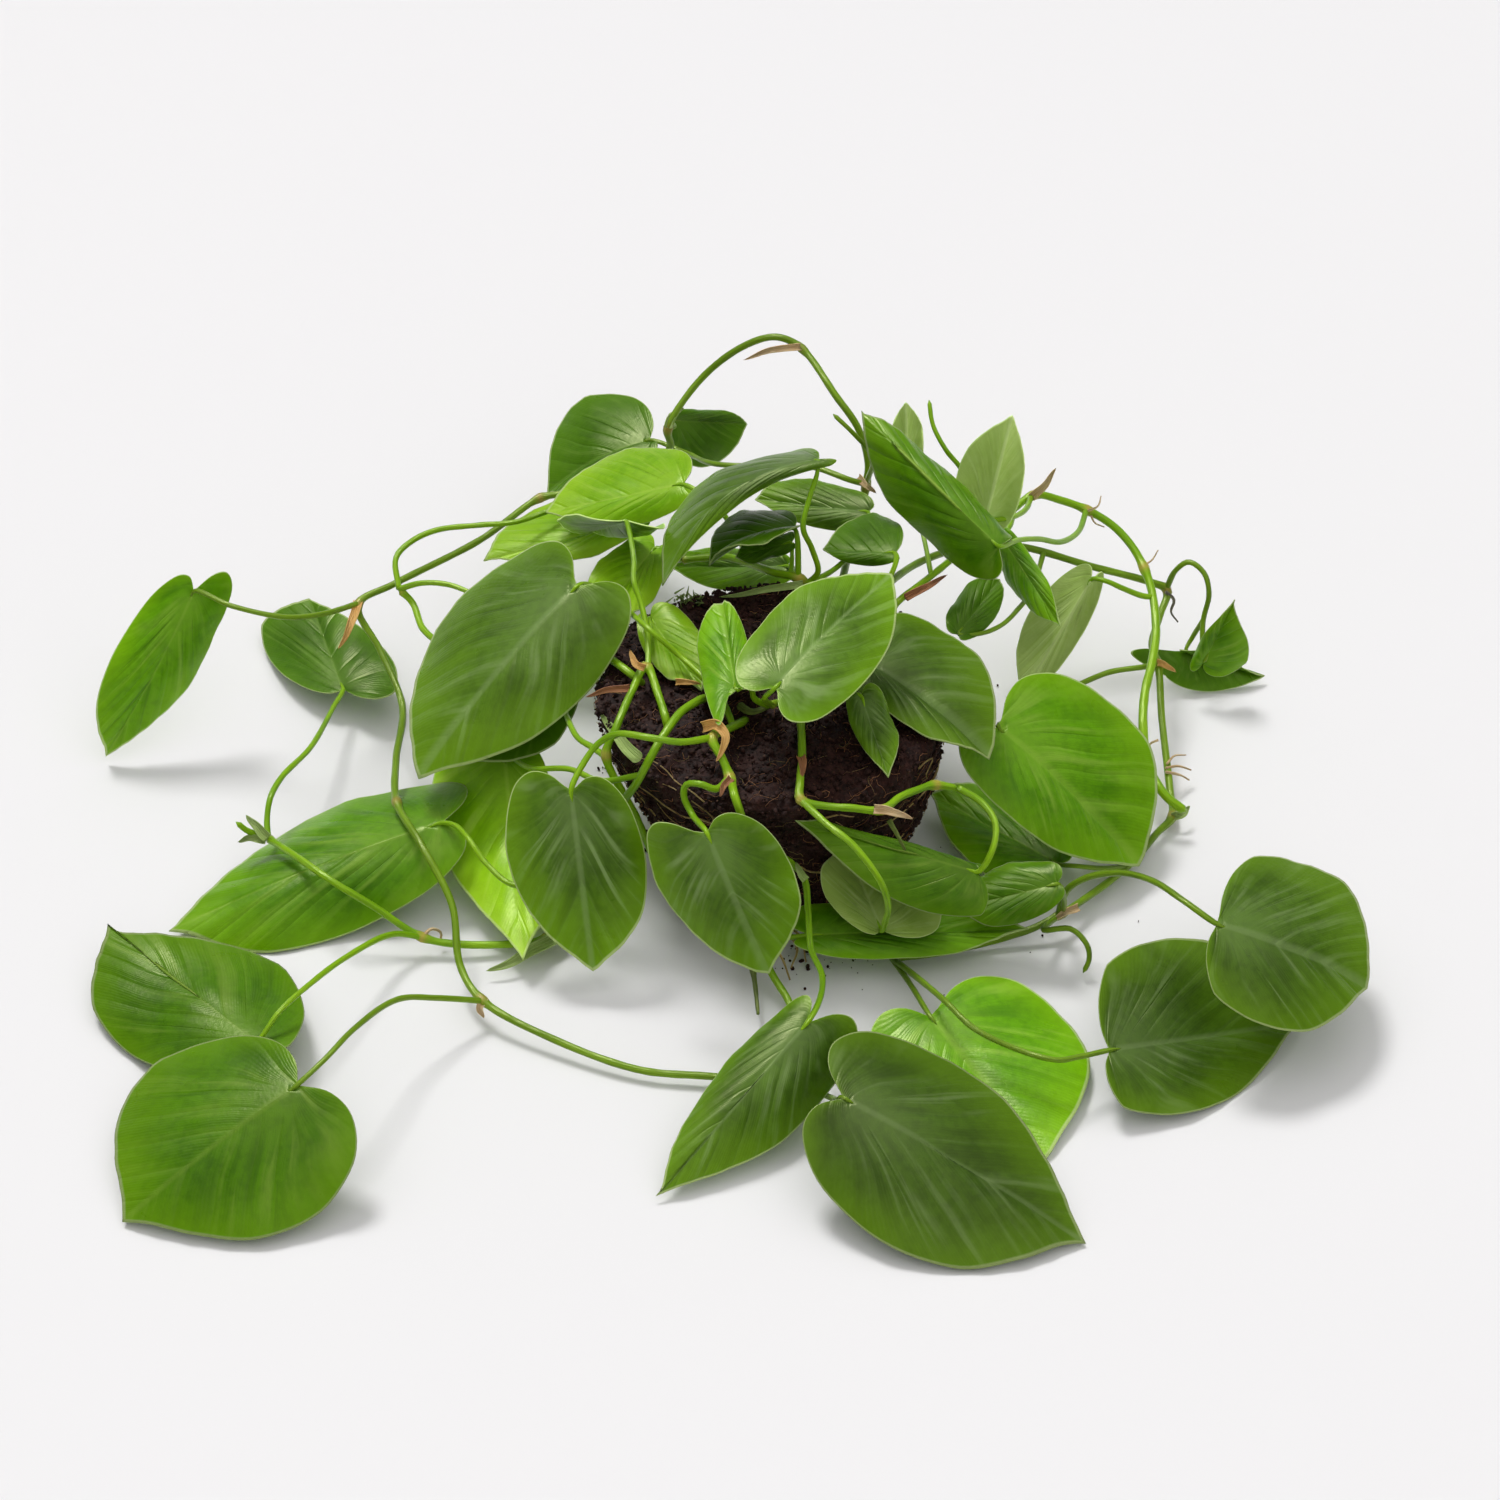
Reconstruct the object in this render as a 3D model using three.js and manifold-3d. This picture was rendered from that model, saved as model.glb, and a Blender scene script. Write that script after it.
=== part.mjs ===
// A heartleaf philodendron lifted out of its pot: a root ball with its vines and leaves sprawling round it.
// Millimetres, +Z up. The origin is the middle of the root ball's flat foot. The photograph looks along +Y.
import * as THREE from "three";
import { mergeVertices } from "three/addons/utils/BufferGeometryUtils.js";
import Module from "manifold-3d";

const wasm = await Module();
wasm.setup();

// Driving dimensions
const ballTopRadius = 60;
const ballFootRadius = 41.5;
const ballHeight = 66;
const ballLean = -4; // how far the top sits to the left of the foot
const ballSides = 22;
const bladeThickness = 0.7;
const vineSides = 6;
const petioleSides = 5;
const stepLength = 13.5; // along a stem, between two rings
const nodeSwelling = 0.35; // how much thicker a stem is at a node, in millimetres
const petioleRadius = 1.1;
const seat = 0.4; // the gap between a petiole and its blade
const holeRoom = 0.8; // how much wider a hole in the soil is than its stem

// The photograph's view of the table. Each place below is [pixel across, pixel down, height above the
// table].
const view = {
  distance: 1250,
  elevation: THREE.MathUtils.degToRad(40),
  focalPixels: 3600,
  middlePixel: 750,
  footAcross: 785,
  footDown: 835,
};
const forward = new THREE.Vector3(0, Math.cos(view.elevation), -Math.sin(view.elevation));
const upward = new THREE.Vector3(0, Math.sin(view.elevation), Math.cos(view.elevation));
const eye = new THREE.Vector3()
  .addScaledVector(forward, -view.distance)
  .addScaledVector(upward, ((view.footDown - view.middlePixel) / view.focalPixels) * view.distance);
eye.x = (-(view.footAcross - view.middlePixel) / view.focalPixels) * view.distance;

// The point at a given height that the photograph shows at a pixel
function spot([across, down, height]) {
  const ray = forward.clone();
  ray.addScaledVector(upward, (view.middlePixel - down) / view.focalPixels);
  ray.x += (across - view.middlePixel) / view.focalPixels;
  return eye.clone().addScaledVector(ray, (height - eye.z) / ray.z);
}

const greens = {
  bright: 0x4f9a1c,
  yellowish: 0x78b02a,
  greyish: 0x4c7d49,
  deep: 0x2f661c,
  pale: 0x86ad62,
  stem: 0x82b83a,
  oldStem: 0x4d6a24,
};
const soil = 0x2a1712;

function finish(colour, roughness) {
  return new THREE.MeshStandardMaterial({ color: colour, roughness, metalness: 0 });
}

// Half of a heart-shaped blade from the notch to the tip, as [share of the midrib, share of the half width]
const heart = [
  [0, 0],
  [-0.09, 0.2],
  [-0.1, 0.5],
  [0.04, 0.84],
  [0.3, 1],
  [0.56, 0.88],
  [0.78, 0.5],
  [0.92, 0.15],
  [1, 0],
];
const heartCentre = 0.06; // where the veins meet, as a share of the midrib
const fineRings = [0.4, 0.72, 1];
const plainRings = [0.55, 1];

// A blade's surface. Each half is stretched from the midrib to its own widest point, left or right, which is
// given as a place; arch lifts the middle of the midrib, puff rounds each half, wave ripples the margin and
// lobe stretches each half past the notch.
function bladeSurface(leaf) {
  const base = spot(leaf.base);
  const along = spot(leaf.tip).sub(base);
  const widest = 0.3;
  const { arch = 0, puff = 2, wave = 1, lobe = [1, 1] } = leaf;
  const leftPoint = spot(leaf.left);
  const rightPoint = spot(leaf.right);
  const up = along.clone().cross(leftPoint.clone().sub(rightPoint)).normalize();
  const bend = (share) => (share > 0 ? 4 * share * (1 - share) : 3 * share);
  const midrib = (share) =>
    base
      .clone()
      .addScaledVector(along, share)
      .addScaledVector(up, arch * bend(share));
  const reach = {
    1: leftPoint.clone().sub(midrib(widest)),
    "-1": rightPoint.clone().sub(midrib(widest)),
  };
  return (share, width, side) => {
    const stretched = share < 0 ? share * lobe[side > 0 ? 0 : 1] : share;
    const half = reach[side];
    const normal = along.clone().cross(half).multiplyScalar(side).normalize();
    const ripple = Math.sin(2 * Math.PI * (1.6 * share + 0.31 * side)) * wave * width * width;
    return midrib(stretched)
      .addScaledVector(half, width)
      .addScaledVector(normal, puff * 4 * width * (1 - width) + ripple);
  };
}

// A closed thin blade: the same triangles on both faces, joined round the margin. A half fuller than 1 has a
// rounder outline than the heart's.
function bladeGeometry(leaf) {
  const surface = bladeSurface(leaf);
  const rings = leaf.small ? plainRings : fineRings;
  const [left, right] = leaf.full ?? [1, 1];
  const margin = heart.map(([share, width]) => [share, width ** (1 / left), 1]);
  for (let i = heart.length - 2; i > 0; i--) {
    margin.push([heart[i][0], heart[i][1] ** (1 / right), -1]);
  }
  const count = margin.length;
  const points = [surface(heartCentre, 0, 1)];
  for (const ring of rings) {
    for (const [share, width, side] of margin) {
      points.push(surface(heartCentre + ring * (share - heartCentre), ring * width, side));
    }
  }
  const faces = [];
  for (let i = 0; i < count; i++) {
    faces.push([0, 1 + ((i + 1) % count), 1 + i]);
  }
  for (let r = 1; r < rings.length; r++) {
    const inner = 1 + (r - 1) * count;
    const outer = inner + count;
    for (let i = 0; i < count; i++) {
      const next = (i + 1) % count;
      if (i < count / 2) {
        faces.push([inner + i, inner + next, outer + i]);
        faces.push([inner + next, outer + next, outer + i]);
      } else {
        faces.push([inner + i, outer + next, outer + i]);
        faces.push([inner + i, inner + next, outer + next]);
      }
    }
  }
  const normals = points.map(() => new THREE.Vector3());
  for (const [a, b, c] of faces) {
    const cross = points[b].clone().sub(points[a]).cross(points[c].clone().sub(points[a]));
    normals[a].add(cross);
    normals[b].add(cross);
    normals[c].add(cross);
  }
  const positions = [];
  for (const way of [1, -1]) {
    points.forEach((point, i) => {
      const lift = normals[i].clone().setLength((way * bladeThickness) / 2);
      positions.push(point.x + lift.x, point.y + lift.y, point.z + lift.z);
    });
  }
  const under = points.length;
  const index = [];
  for (const [a, b, c] of faces) {
    index.push(a, b, c, under + a, under + c, under + b);
  }
  const rim = 1 + (rings.length - 1) * count;
  for (let i = 0; i < count; i++) {
    const a = rim + i;
    const b = rim + ((i + 1) % count);
    index.push(a, b, under + a, b, under + b, under + a);
  }
  return closedGeometry(positions, index);
}

function closedGeometry(positions, index) {
  const geometry = new THREE.BufferGeometry();
  geometry.setAttribute("position", new THREE.Float32BufferAttribute(positions, 3));
  geometry.setIndex(index);
  return geometry;
}

// A smooth line through the given places, as evenly spaced points with the directions across it at each
function lineThrough(places) {
  const curve = new THREE.CatmullRomCurve3(
    places.map((place) => (place.isVector3 ? place : spot(place))),
    false,
    "centripetal",
  );
  const steps = Math.max(2, Math.round(curve.getLength() / stepLength));
  const { normals, binormals } = curve.computeFrenetFrames(steps, false);
  return { points: curve.getSpacedPoints(steps), normals, binormals };
}

// The point nearest to a place on any of the lines, where a petiole grows out
function nearestOn(lines, place) {
  const point = spot(place);
  const found = [];
  for (const { points } of lines) {
    for (let i = 1; i < points.length; i++) {
      const piece = new THREE.Line3(points[i - 1], points[i]);
      found.push(piece.closestPointToPoint(point, true, new THREE.Vector3()));
    }
  }
  return found.reduce((best, each) => (each.distanceTo(point) < best.distanceTo(point) ? each : best));
}

// A stem along a line, round in section, thinner towards its end and swollen at its nodes
function stemGeometry({ points, normals, binormals }, startRadius, endRadius, sides, nodes = []) {
  const knots = nodes.map((node) => spot(node));
  const steps = points.length - 1;
  const positions = [];
  const index = [];
  for (let i = 0; i <= steps; i++) {
    let radius = THREE.MathUtils.lerp(startRadius, endRadius, i / steps);
    for (const knot of knots) {
      radius += nodeSwelling * Math.max(0, 1 - knot.distanceTo(points[i]) / 7);
    }
    for (let j = 0; j < sides; j++) {
      const turn = (j / sides) * 2 * Math.PI;
      const point = points[i]
        .clone()
        .addScaledVector(normals[i], radius * Math.cos(turn))
        .addScaledVector(binormals[i], radius * Math.sin(turn));
      positions.push(point.x, point.y, point.z);
    }
  }
  for (let i = 0; i < steps; i++) {
    for (let j = 0; j < sides; j++) {
      const a = i * sides + j;
      const b = i * sides + ((j + 1) % sides);
      index.push(a, b, b + sides, a, b + sides, a + sides);
    }
  }
  for (let j = 1; j < sides - 1; j++) {
    index.push(0, j + 1, j);
    const last = steps * sides;
    index.push(last, last + j, last + j + 1);
  }
  return closedGeometry(positions, index);
}

function solid(geometry) {
  let bare = geometry.clone();
  bare.deleteAttribute("uv");
  bare.deleteAttribute("normal");
  bare = mergeVertices(bare, 1e-4);
  return new wasm.Manifold(
    new wasm.Mesh({
      numProp: 3,
      vertProperties: new Float32Array(bare.attributes.position.array),
      triVerts: new Uint32Array(bare.index.array),
    }),
  );
}

function geometryOf(manifold) {
  const mesh = manifold.getMesh();
  const geometry = new THREE.BufferGeometry();
  geometry.setAttribute("position", new THREE.Float32BufferAttribute(mesh.vertProperties, 3));
  geometry.setIndex(new THREE.BufferAttribute(new Uint32Array(mesh.triVerts), 1));
  return geometry;
}

// Each blade: its notch, its tip and the widest point of each half, left and right as seen from above when
// looking from the notch to the tip
const leaves = [
  // left of the root ball
  { name: "leaf_far_left", green: "bright", base: [194, 591, 62], tip: [106, 757, 3], left: [214, 640, 40],
    right: [114, 652, 42], arch: 4 },
  { name: "leaf_left_dark", green: "deep", base: [343, 689, 12], tip: [308, 597, 14], left: [264, 650, 4],
    right: [396, 668, 14], small: true },
  { name: "leaf_left_flat", green: "bright", base: [440, 823, 30], tip: [168, 931, 3],
    left: [345, 935, 3.4], right: [356, 802, 13], arch: 3 },
  { name: "leaf_low_left_back", green: "bright", base: [256, 1042, 18], tip: [106, 922, 14],
    left: [124, 1050, 3], right: [284, 972, 9], full: [0.95, 0.55] },
  { name: "leaf_low_left_front", green: "bright", base: [297, 1085, 32], tip: [122, 1222, 2],
    left: [318, 1214, 8], right: [160, 1062, 18], arch: 3 },
  { name: "leaf_big_left", green: "greyish", base: [577, 586, 90], tip: [418, 779, 42],
    left: [590, 690, 66], right: [464, 596, 66], arch: 4, full: [1.1, 1.3] },
  { name: "leaf_under_big_left", green: "deep", base: [556, 675, 51], tip: [446, 762, 34],
    left: [552, 744, 43], right: [470, 700, 40], small: true },
  { name: "leaf_left_folded", green: "yellowish", base: [505, 754, 33], tip: [523, 959, 10],
    left: [560, 830, 21], right: [432, 804, 15] },
  { name: "leaf_front_left_heart", green: "greyish", base: [571, 790, 64], tip: [593, 972, 12],
    left: [646, 858, 44], right: [506, 845, 44], full: [1.2, 1.2] },
  { name: "leaf_front_middle_heart", green: "greyish", base: [707, 833, 68], tip: [770, 974, 24],
    left: [791, 862, 53], right: [656, 880, 48], full: [1, 1.6] },
  // behind and to the left
  { name: "leaf_back_left_dark", green: "deep", base: [649, 440, 62], tip: [546, 494, 38],
    left: [606, 486, 50], right: [590, 397, 60], arch: 4 },
  { name: "leaf_back_left_folded", green: "deep", base: [672, 420, 62], tip: [748, 424, 50],
    left: [704, 409, 60], right: [698, 467, 42], small: true },
  { name: "leaf_back_left_yellow", green: "yellowish", base: [682, 484, 86], tip: [545, 512, 66],
    left: [640, 524, 72], right: [632, 450, 78] },
  { name: "leaf_back_left_under", green: "yellowish", base: [635, 520, 64], tip: [483, 560, 48],
    left: [588, 556, 56], right: [560, 502, 54], small: true },
  { name: "leaf_back_left_edge_on", green: "greyish", base: [626, 521, 92], tip: [592, 534, 66],
    left: [663, 528, 84], right: [560, 516, 84], small: true },
  { name: "leaf_back_long", green: "greyish", base: [818, 459, 118], tip: [662, 586, 82],
    left: [770, 486, 112], right: [724, 470, 98], arch: 11, lobe: [0.5, 0.5] },
  { name: "leaf_back_small_dark", green: "deep", base: [794, 528, 92], tip: [708, 564, 82],
    left: [760, 542, 95], right: [744, 512, 84], arch: 3, small: true },
  { name: "leaf_back_slender", green: "deep", base: [792, 542, 82], tip: [735, 557, 77],
    left: [768, 560, 76], right: [768, 538, 78], small: true },
  { name: "leaf_back_grey", green: "greyish", base: [868, 512, 78], tip: [754, 499, 70],
    left: [830, 530, 70], right: [815, 481, 76], small: true },
  { name: "leaf_back_olive", green: "deep", base: [895, 553, 84], tip: [822, 549, 78],
    left: [868, 566, 78], right: [876, 515, 80], small: true },
  // behind and to the right
  { name: "leaf_back_right_bright", green: "bright", base: [998, 546, 96], tip: [860, 411, 116],
    left: [922, 538, 84], right: [970, 494, 98], arch: 3, lobe: [1, 0.1] },
  { name: "leaf_back_right_under", green: "bright", base: [1002, 538, 67], tip: [1060, 626, 54],
    left: [1036, 562, 64], right: [1008, 580, 54], small: true },
  { name: "leaf_back_right_pale", green: "pale", base: [986, 519, 76], tip: [1013, 414, 120],
    left: [1020, 500, 86], right: [956, 474, 90], small: true },
  { name: "leaf_back_right_small", green: "pale", base: [908, 470, 84], tip: [906, 402, 108],
    left: [924, 445, 93.5], right: [891, 442, 93.5], small: true },
  { name: "leaf_right_olive", green: "pale", base: [1092, 579, 48], tip: [1020, 700, 4],
    left: [1030, 612, 32], right: [1080, 640, 26] },
  { name: "leaf_right_shadow", green: "deep", base: [958, 634, 56], tip: [1000, 578, 60],
    left: [956, 598, 58], right: [992, 622, 54], small: true },
  { name: "leaf_far_right", green: "deep", base: [1186, 651, 14], tip: [1265, 676, 3],
    left: [1216, 653, 14], right: [1184, 688, 3], lobe: [1, 5], small: true, full: [1, 1.3] },
  { name: "leaf_far_right_young", green: "bright", base: [1204, 662, 17], tip: [1235, 600, 42],
    left: [1196, 648, 21], right: [1246, 661, 16], small: true, full: [0.7, 0.6] },
  { name: "leaf_big_right", green: "bright", base: [998, 727, 54], tip: [1140, 866, 10],
    left: [1116, 704, 44], right: [1004, 814, 36], arch: 4, full: [1.3, 1.3] },
  // over the soil
  { name: "leaf_top_heart", green: "greyish", base: [776, 687, 98], tip: [892, 573, 102],
    left: [764, 618, 102], right: [862, 686, 94], arch: 4, full: [1.05, 1.2] },
  { name: "leaf_top_small", green: "bright", base: [736, 690, 84], tip: [722, 603, 86],
    left: [700, 672, 80], right: [749, 650, 86], small: true, lobe: [3.4, 1], full: [2, 1.6] },
  { name: "leaf_top_right", green: "greyish", base: [866, 662, 75], tip: [990, 758, 62],
    left: [950, 632, 72], right: [886, 714, 72], arch: 3, full: [1.6, 1.1] },
  { name: "leaf_top_narrow", green: "greyish", base: [861, 696, 82], tip: [889, 777, 68],
    left: [892, 716, 76], right: [850, 722, 76], small: true },
  { name: "leaf_soil_bright", green: "yellowish", base: [650, 618, 72], tip: [702, 690, 69],
    left: [700, 630, 72], right: [650, 662, 70], small: true },
  { name: "leaf_behind_big_left", green: "yellowish", base: [655, 548, 70], tip: [592, 622, 70],
    left: [652, 600, 69], right: [600, 562, 70], small: true },
  { name: "leaf_behind_soil", green: "greyish", base: [786, 566, 58], tip: [668, 566, 42],
    left: [745, 592, 46], right: [728, 548, 52], small: true },
  // in front and to the right
  { name: "leaf_front_right_upper", green: "bright", base: [978, 872, 42], tip: [795, 820, 60],
    left: [926, 912, 34], right: [912, 848, 46], lobe: [0.4, 0.4] },
  { name: "leaf_front_right_pale", green: "pale", base: [881, 930, 24], tip: [846, 846, 38],
    left: [824, 893, 30], right: [940, 906, 24], small: true },
  { name: "leaf_front_right_dark", green: "bright", base: [1057, 884, 32], tip: [956, 908, 22],
    left: [1018, 924, 20], right: [1012, 864, 30], small: true },
  { name: "leaf_front_right_boat", green: "bright", base: [811, 935, 16], tip: [1029, 927, 14],
    left: [870, 900, 14], right: [896, 960, 11] },
  { name: "leaf_under_big_right", green: "bright", base: [1058, 864, 12], tip: [930, 792, 10],
    left: [984, 872, 8], right: [1020, 800, 10] },
  { name: "leaf_low_right_top", green: "greyish", base: [1217, 924, 48], tip: [1369, 987, 24],
    left: [1306, 862, 38], right: [1262, 1026, 28], arch: 3, lobe: [0.6, 0.6], full: [1.3, 1.1] },
  { name: "leaf_low_right_under", green: "greyish", base: [1110, 1050, 16], tip: [1300, 1022, 3],
    left: [1160, 938, 20], right: [1184, 1115, 2.3], lobe: [0.5, 0.5] },
  { name: "leaf_front_bright", green: "bright", base: [930, 1016, 12], tip: [1044, 1160, 2],
    left: [1068, 1020, 6], right: [885, 1092, 3], full: [1.3, 1] },
  { name: "leaf_front_largest", green: "greyish", base: [844, 1098, 30], tip: [1087, 1242, 2],
    left: [944, 1056, 24], right: [884, 1244, 6], arch: 3 },
  { name: "leaf_front_twisted", green: "greyish", base: [807, 1023, 32], tip: [657, 1197, 3],
    left: [824, 1100, 12], right: [732, 1058, 22], arch: 3 },
];

// Each vine: its main stem from its hole in the soil, and the petioles that grow from it. A petiole that
// names a leaf ends at that leaf's notch; one that names none is a bare shoot or a dead stalk.
const vines = [
  { name: "vine_long", green: "oldStem", radius: [1.3, 1.25],
    stem: [
      [836, 604, 54], [840, 588, 68], [850, 550, 66], [860, 515, 66], [866, 486, 74], [868, 462, 82],
      [858, 428, 94], [836, 396, 104], [800, 347, 112], [776, 337, 114], [742, 347, 108], [700, 380, 94],
      [668, 428, 80], [670, 448, 70], [640, 468, 60], [600, 482, 56], [560, 494, 54], [540, 498, 52],
      [480, 540, 48], [394, 584, 46], [358, 605, 44], [380, 650, 34], [402, 704, 27], [396, 760, 28],
      [397, 803, 30], [422, 846, 31], [452, 905, 22], [460, 965, 12], [482, 1000, 9], [553, 1039, 6],
      [640, 1070, 4], [706, 1076, 4], [760, 1080, 4],
    ],
    nodes: [[866, 486, 74], [800, 350, 112], [668, 428, 80], [540, 498, 52], [358, 605, 44], [397, 803, 30],
      [482, 1000, 9]],
    petioles: [
      { leaf: "leaf_back_left_dark", path: [[866, 486, 74], [850, 480, 78], [812, 467, 78],
        [770, 466, 76],
        [716, 464, 72], [684, 452, 62]] },
      { leaf: "leaf_back_left_folded", path: [[668, 428, 80], [674, 426, 70]] },
      { leaf: "leaf_far_left", path: [[358, 605, 44], [322, 614, 52], [284, 617, 58], [232, 606, 62]] },
      { leaf: "leaf_low_left_front", path: [[482, 1000, 9], [437, 998, 18], [399, 999, 26],
        [355, 1028, 34],
        [324, 1060, 35]] },
      { leaf: "leaf_front_largest", path: [[755, 1080, 4], [800, 1086, 5], [832, 1098, 12],
        [838, 1100, 22]] },
      { path: [[867, 484, 75], [872, 456, 94], [854, 434, 104], [833, 414, 110]], radius: 1 },
    ] },
  { name: "vine_left_back", green: "stem", radius: [1.4, 1.2],
    stem: [
      [648, 690, 55], [636, 678, 69], [604, 655, 69], [560, 640, 58], [500, 635, 52], [450, 645, 46],
      [424, 630, 44], [412, 602, 46], [399, 589, 50],
    ],
    nodes: [[399, 589, 50]],
    petioles: [
      { leaf: "leaf_back_left_under", path: [[400, 590, 50], [396, 558, 56], [412, 541, 58],
        [437, 530, 59],
        [480, 525, 60], [515, 522, 61], [560, 508, 63], [610, 502, 67], [634, 508, 67]] },
      { path: [[400, 590, 50], [422, 583, 54], [450, 585, 55], [486, 600, 54]] },
    ] },
  { name: "vine_left_dark", green: "stem", radius: [1.4, 1.2],
    stem: [
      [668, 742, 54], [667, 724, 69], [658, 694, 72], [646, 666, 75], [632, 691, 73], [616, 728, 69],
      [606, 755, 62], [624, 795, 50], [634, 812, 44], [650, 850, 28], [668, 890, 10], [680, 915, 4],
    ],
    nodes: [[646, 666, 75], [606, 755, 62]],
    petioles: [
      { leaf: "leaf_back_left_edge_on", path: [[646, 668, 75], [648, 640, 78], [641, 603, 84],
        [634, 582, 88],
        [634, 561, 90], [630, 535, 92]] },
      { leaf: "leaf_soil_bright", path: [[648, 640, 78], [650, 628, 76]] },
      { leaf: "leaf_under_big_left", path: [[606, 755, 62], [592, 747, 60], [579, 739, 59],
        [569, 722, 57],
        [562, 700, 54], [558, 680, 52]] },
    ] },
  { name: "vine_left_main", green: "stem", radius: [1.45, 1.2],
    stem: [
      [716, 700, 54], [706, 698, 68], [696, 702, 75], [680, 713, 77], [660, 741, 75], [648, 762, 71],
      [636, 784, 62], [619, 807, 50], [590, 860, 30], [560, 915, 12], [546, 938, 5], [523, 943, 4],
      [456, 944, 5], [422, 937, 7], [373, 906, 17], [335, 883, 24], [297, 857, 24], [268, 838, 19],
    ],
    nodes: [[422, 937, 7], [268, 838, 19], [546, 938, 5]],
    petioles: [
      { leaf: "leaf_left_folded", path: [[640, 777, 66], [602, 781, 58], [569, 769, 52],
        [530, 768, 43]] },
      { leaf: "leaf_left_flat", path: [[606, 830, 42], [560, 880, 32], [514, 885, 30], [486, 863, 32],
        [468, 838, 35], [454, 825, 32]] },
      { leaf: "leaf_low_left_back", path: [[422, 937, 7], [394, 934, 12], [348, 956, 20], [310, 984, 24],
        [279, 1012, 24]] },
      { leaf: "leaf_left_dark", path: [[268, 838, 16], [267, 820, 22], [270, 799, 26], [281, 778, 26],
        [310, 748, 22], [334, 706, 15]] },
      { path: [[268, 838, 16], [250, 832, 22], [236, 822, 27]], radius: 1.2 },
    ] },
  { name: "vine_middle", green: "stem", radius: [1.5, 1.25],
    stem: [
      [752, 716, 56], [742, 722, 69], [726, 730, 75], [712, 738, 77], [722, 758, 74], [730, 778, 70],
      [735, 797, 71], [741, 815, 66], [748, 850, 44], [756, 900, 22], [768, 965, 9], [788, 1000, 5],
      [800, 1030, 4],
    ],
    nodes: [[712, 738, 77], [730, 778, 70]],
    petioles: [
      { leaf: "leaf_front_left_heart", path: [[712, 738, 77], [680, 742, 80], [652, 738, 81],
        [616, 734, 78],
        [599, 743, 74], [586, 759, 70]], radius: 1.25 },
      { leaf: "leaf_front_middle_heart", path: [[730, 778, 70], [716, 789, 70], [700, 784, 72],
        [686, 785, 70],
        [684, 797, 66], [692, 814, 62]], radius: 1.2 },
      { leaf: "leaf_big_left", path: [[732, 727, 73], [722, 700, 74], [700, 674, 76], [680, 656, 77],
        [650, 630, 84], [622, 606, 80], [598, 588, 82]] },
      { leaf: "leaf_front_right_boat", path: [[757, 905, 25], [768, 932, 20], [790, 937, 17]] },
      { leaf: "leaf_front_twisted", path: [[744, 840, 50], [772, 852, 46], [790, 862, 42], [804, 878, 38],
        [808, 910, 30], [811, 948, 24], [822, 975, 26], [818, 1004, 32]], radius: 1.2 },
    ] },
  { name: "vine_top", green: "stem", radius: [1.3, 1.2],
    stem: [[872, 652, 55], [858, 664, 69], [840, 674, 71], [810, 690, 71], [784, 700, 71], [768, 706, 72]],
    nodes: [[768, 706, 72], [840, 674, 71]],
    petioles: [
      { leaf: "leaf_top_heart", path: [[770, 705, 72], [765, 700, 84], [767, 695, 94]] },
      { leaf: "leaf_top_small", path: [[769, 705, 72], [754, 698, 78], [750, 684, 84]] },
      { leaf: "leaf_top_right", path: [[840, 674, 71], [856, 664, 74]] },
      { leaf: "leaf_top_narrow", path: [[826, 682, 71], [838, 690, 78], [852, 693, 82]], radius: 1 },
    ] },
  { name: "vine_back", green: "stem", radius: [1.5, 1.3],
    stem: [
      [806, 600, 54], [808, 586, 70], [799, 578, 76], [773, 572, 74], [748, 563, 69], [726, 557, 66],
      [700, 558, 64], [680, 560, 63],
    ],
    nodes: [[799, 578, 76], [680, 560, 63]],
    petioles: [
      { leaf: "leaf_back_long", path: [[806, 584, 72], [818, 572, 78], [812, 549, 88], [803, 526, 100],
        [810, 496, 108], [817, 474, 114]] },
      { leaf: "leaf_back_small_dark", path: [[798, 577, 76], [798, 550, 86], [797, 536, 91]] },
      { leaf: "leaf_back_slender", path: [[790, 576, 76], [792, 560, 79], [792, 550, 80]], radius: 0.9 },
      { leaf: "leaf_back_olive", path: [[808, 586, 72], [850, 588, 76], [885, 582, 80], [894, 568, 84]] },
      { leaf: "leaf_back_grey", path: [[808, 586, 72], [836, 568, 74], [862, 540, 76], [868, 522, 78]],
        radius: 1 },
      { leaf: "leaf_back_left_yellow", path: [[748, 563, 69], [736, 532, 74], [716, 506, 80],
        [700, 493, 86]] },
      { leaf: "leaf_behind_big_left", path: [[682, 560, 63], [670, 552, 70]] },
      { leaf: "leaf_behind_soil", path: [[799, 578, 76], [796, 570, 70]], radius: 1 },
    ] },
  { name: "vine_front_right", green: "stem", radius: [1.4, 1.2],
    stem: [
      [800, 706, 55], [801, 724, 69], [802, 757, 70], [800, 782, 70], [801, 800, 68], [826, 806, 67],
      [852, 808, 67], [881, 810, 65], [900, 797, 64], [917, 790, 63], [935, 785, 60], [958, 788, 58],
    ],
    nodes: [[801, 800, 68], [881, 810, 65], [935, 785, 60]],
    petioles: [
      { leaf: "leaf_front_right_pale", path: [[801, 800, 68], [828, 825, 68], [853, 845, 66],
        [879, 879, 58],
        [888, 904, 46], [885, 922, 32]], radius: 1.25 },
      { leaf: "leaf_front_right_upper", path: [[956, 788, 58], [981, 802, 56], [995, 822, 54],
        [993, 848, 50]],
        radius: 1.25 },
    ] },
  { name: "vine_right_bright", green: "stem", radius: [1.15, 1.7],
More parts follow.
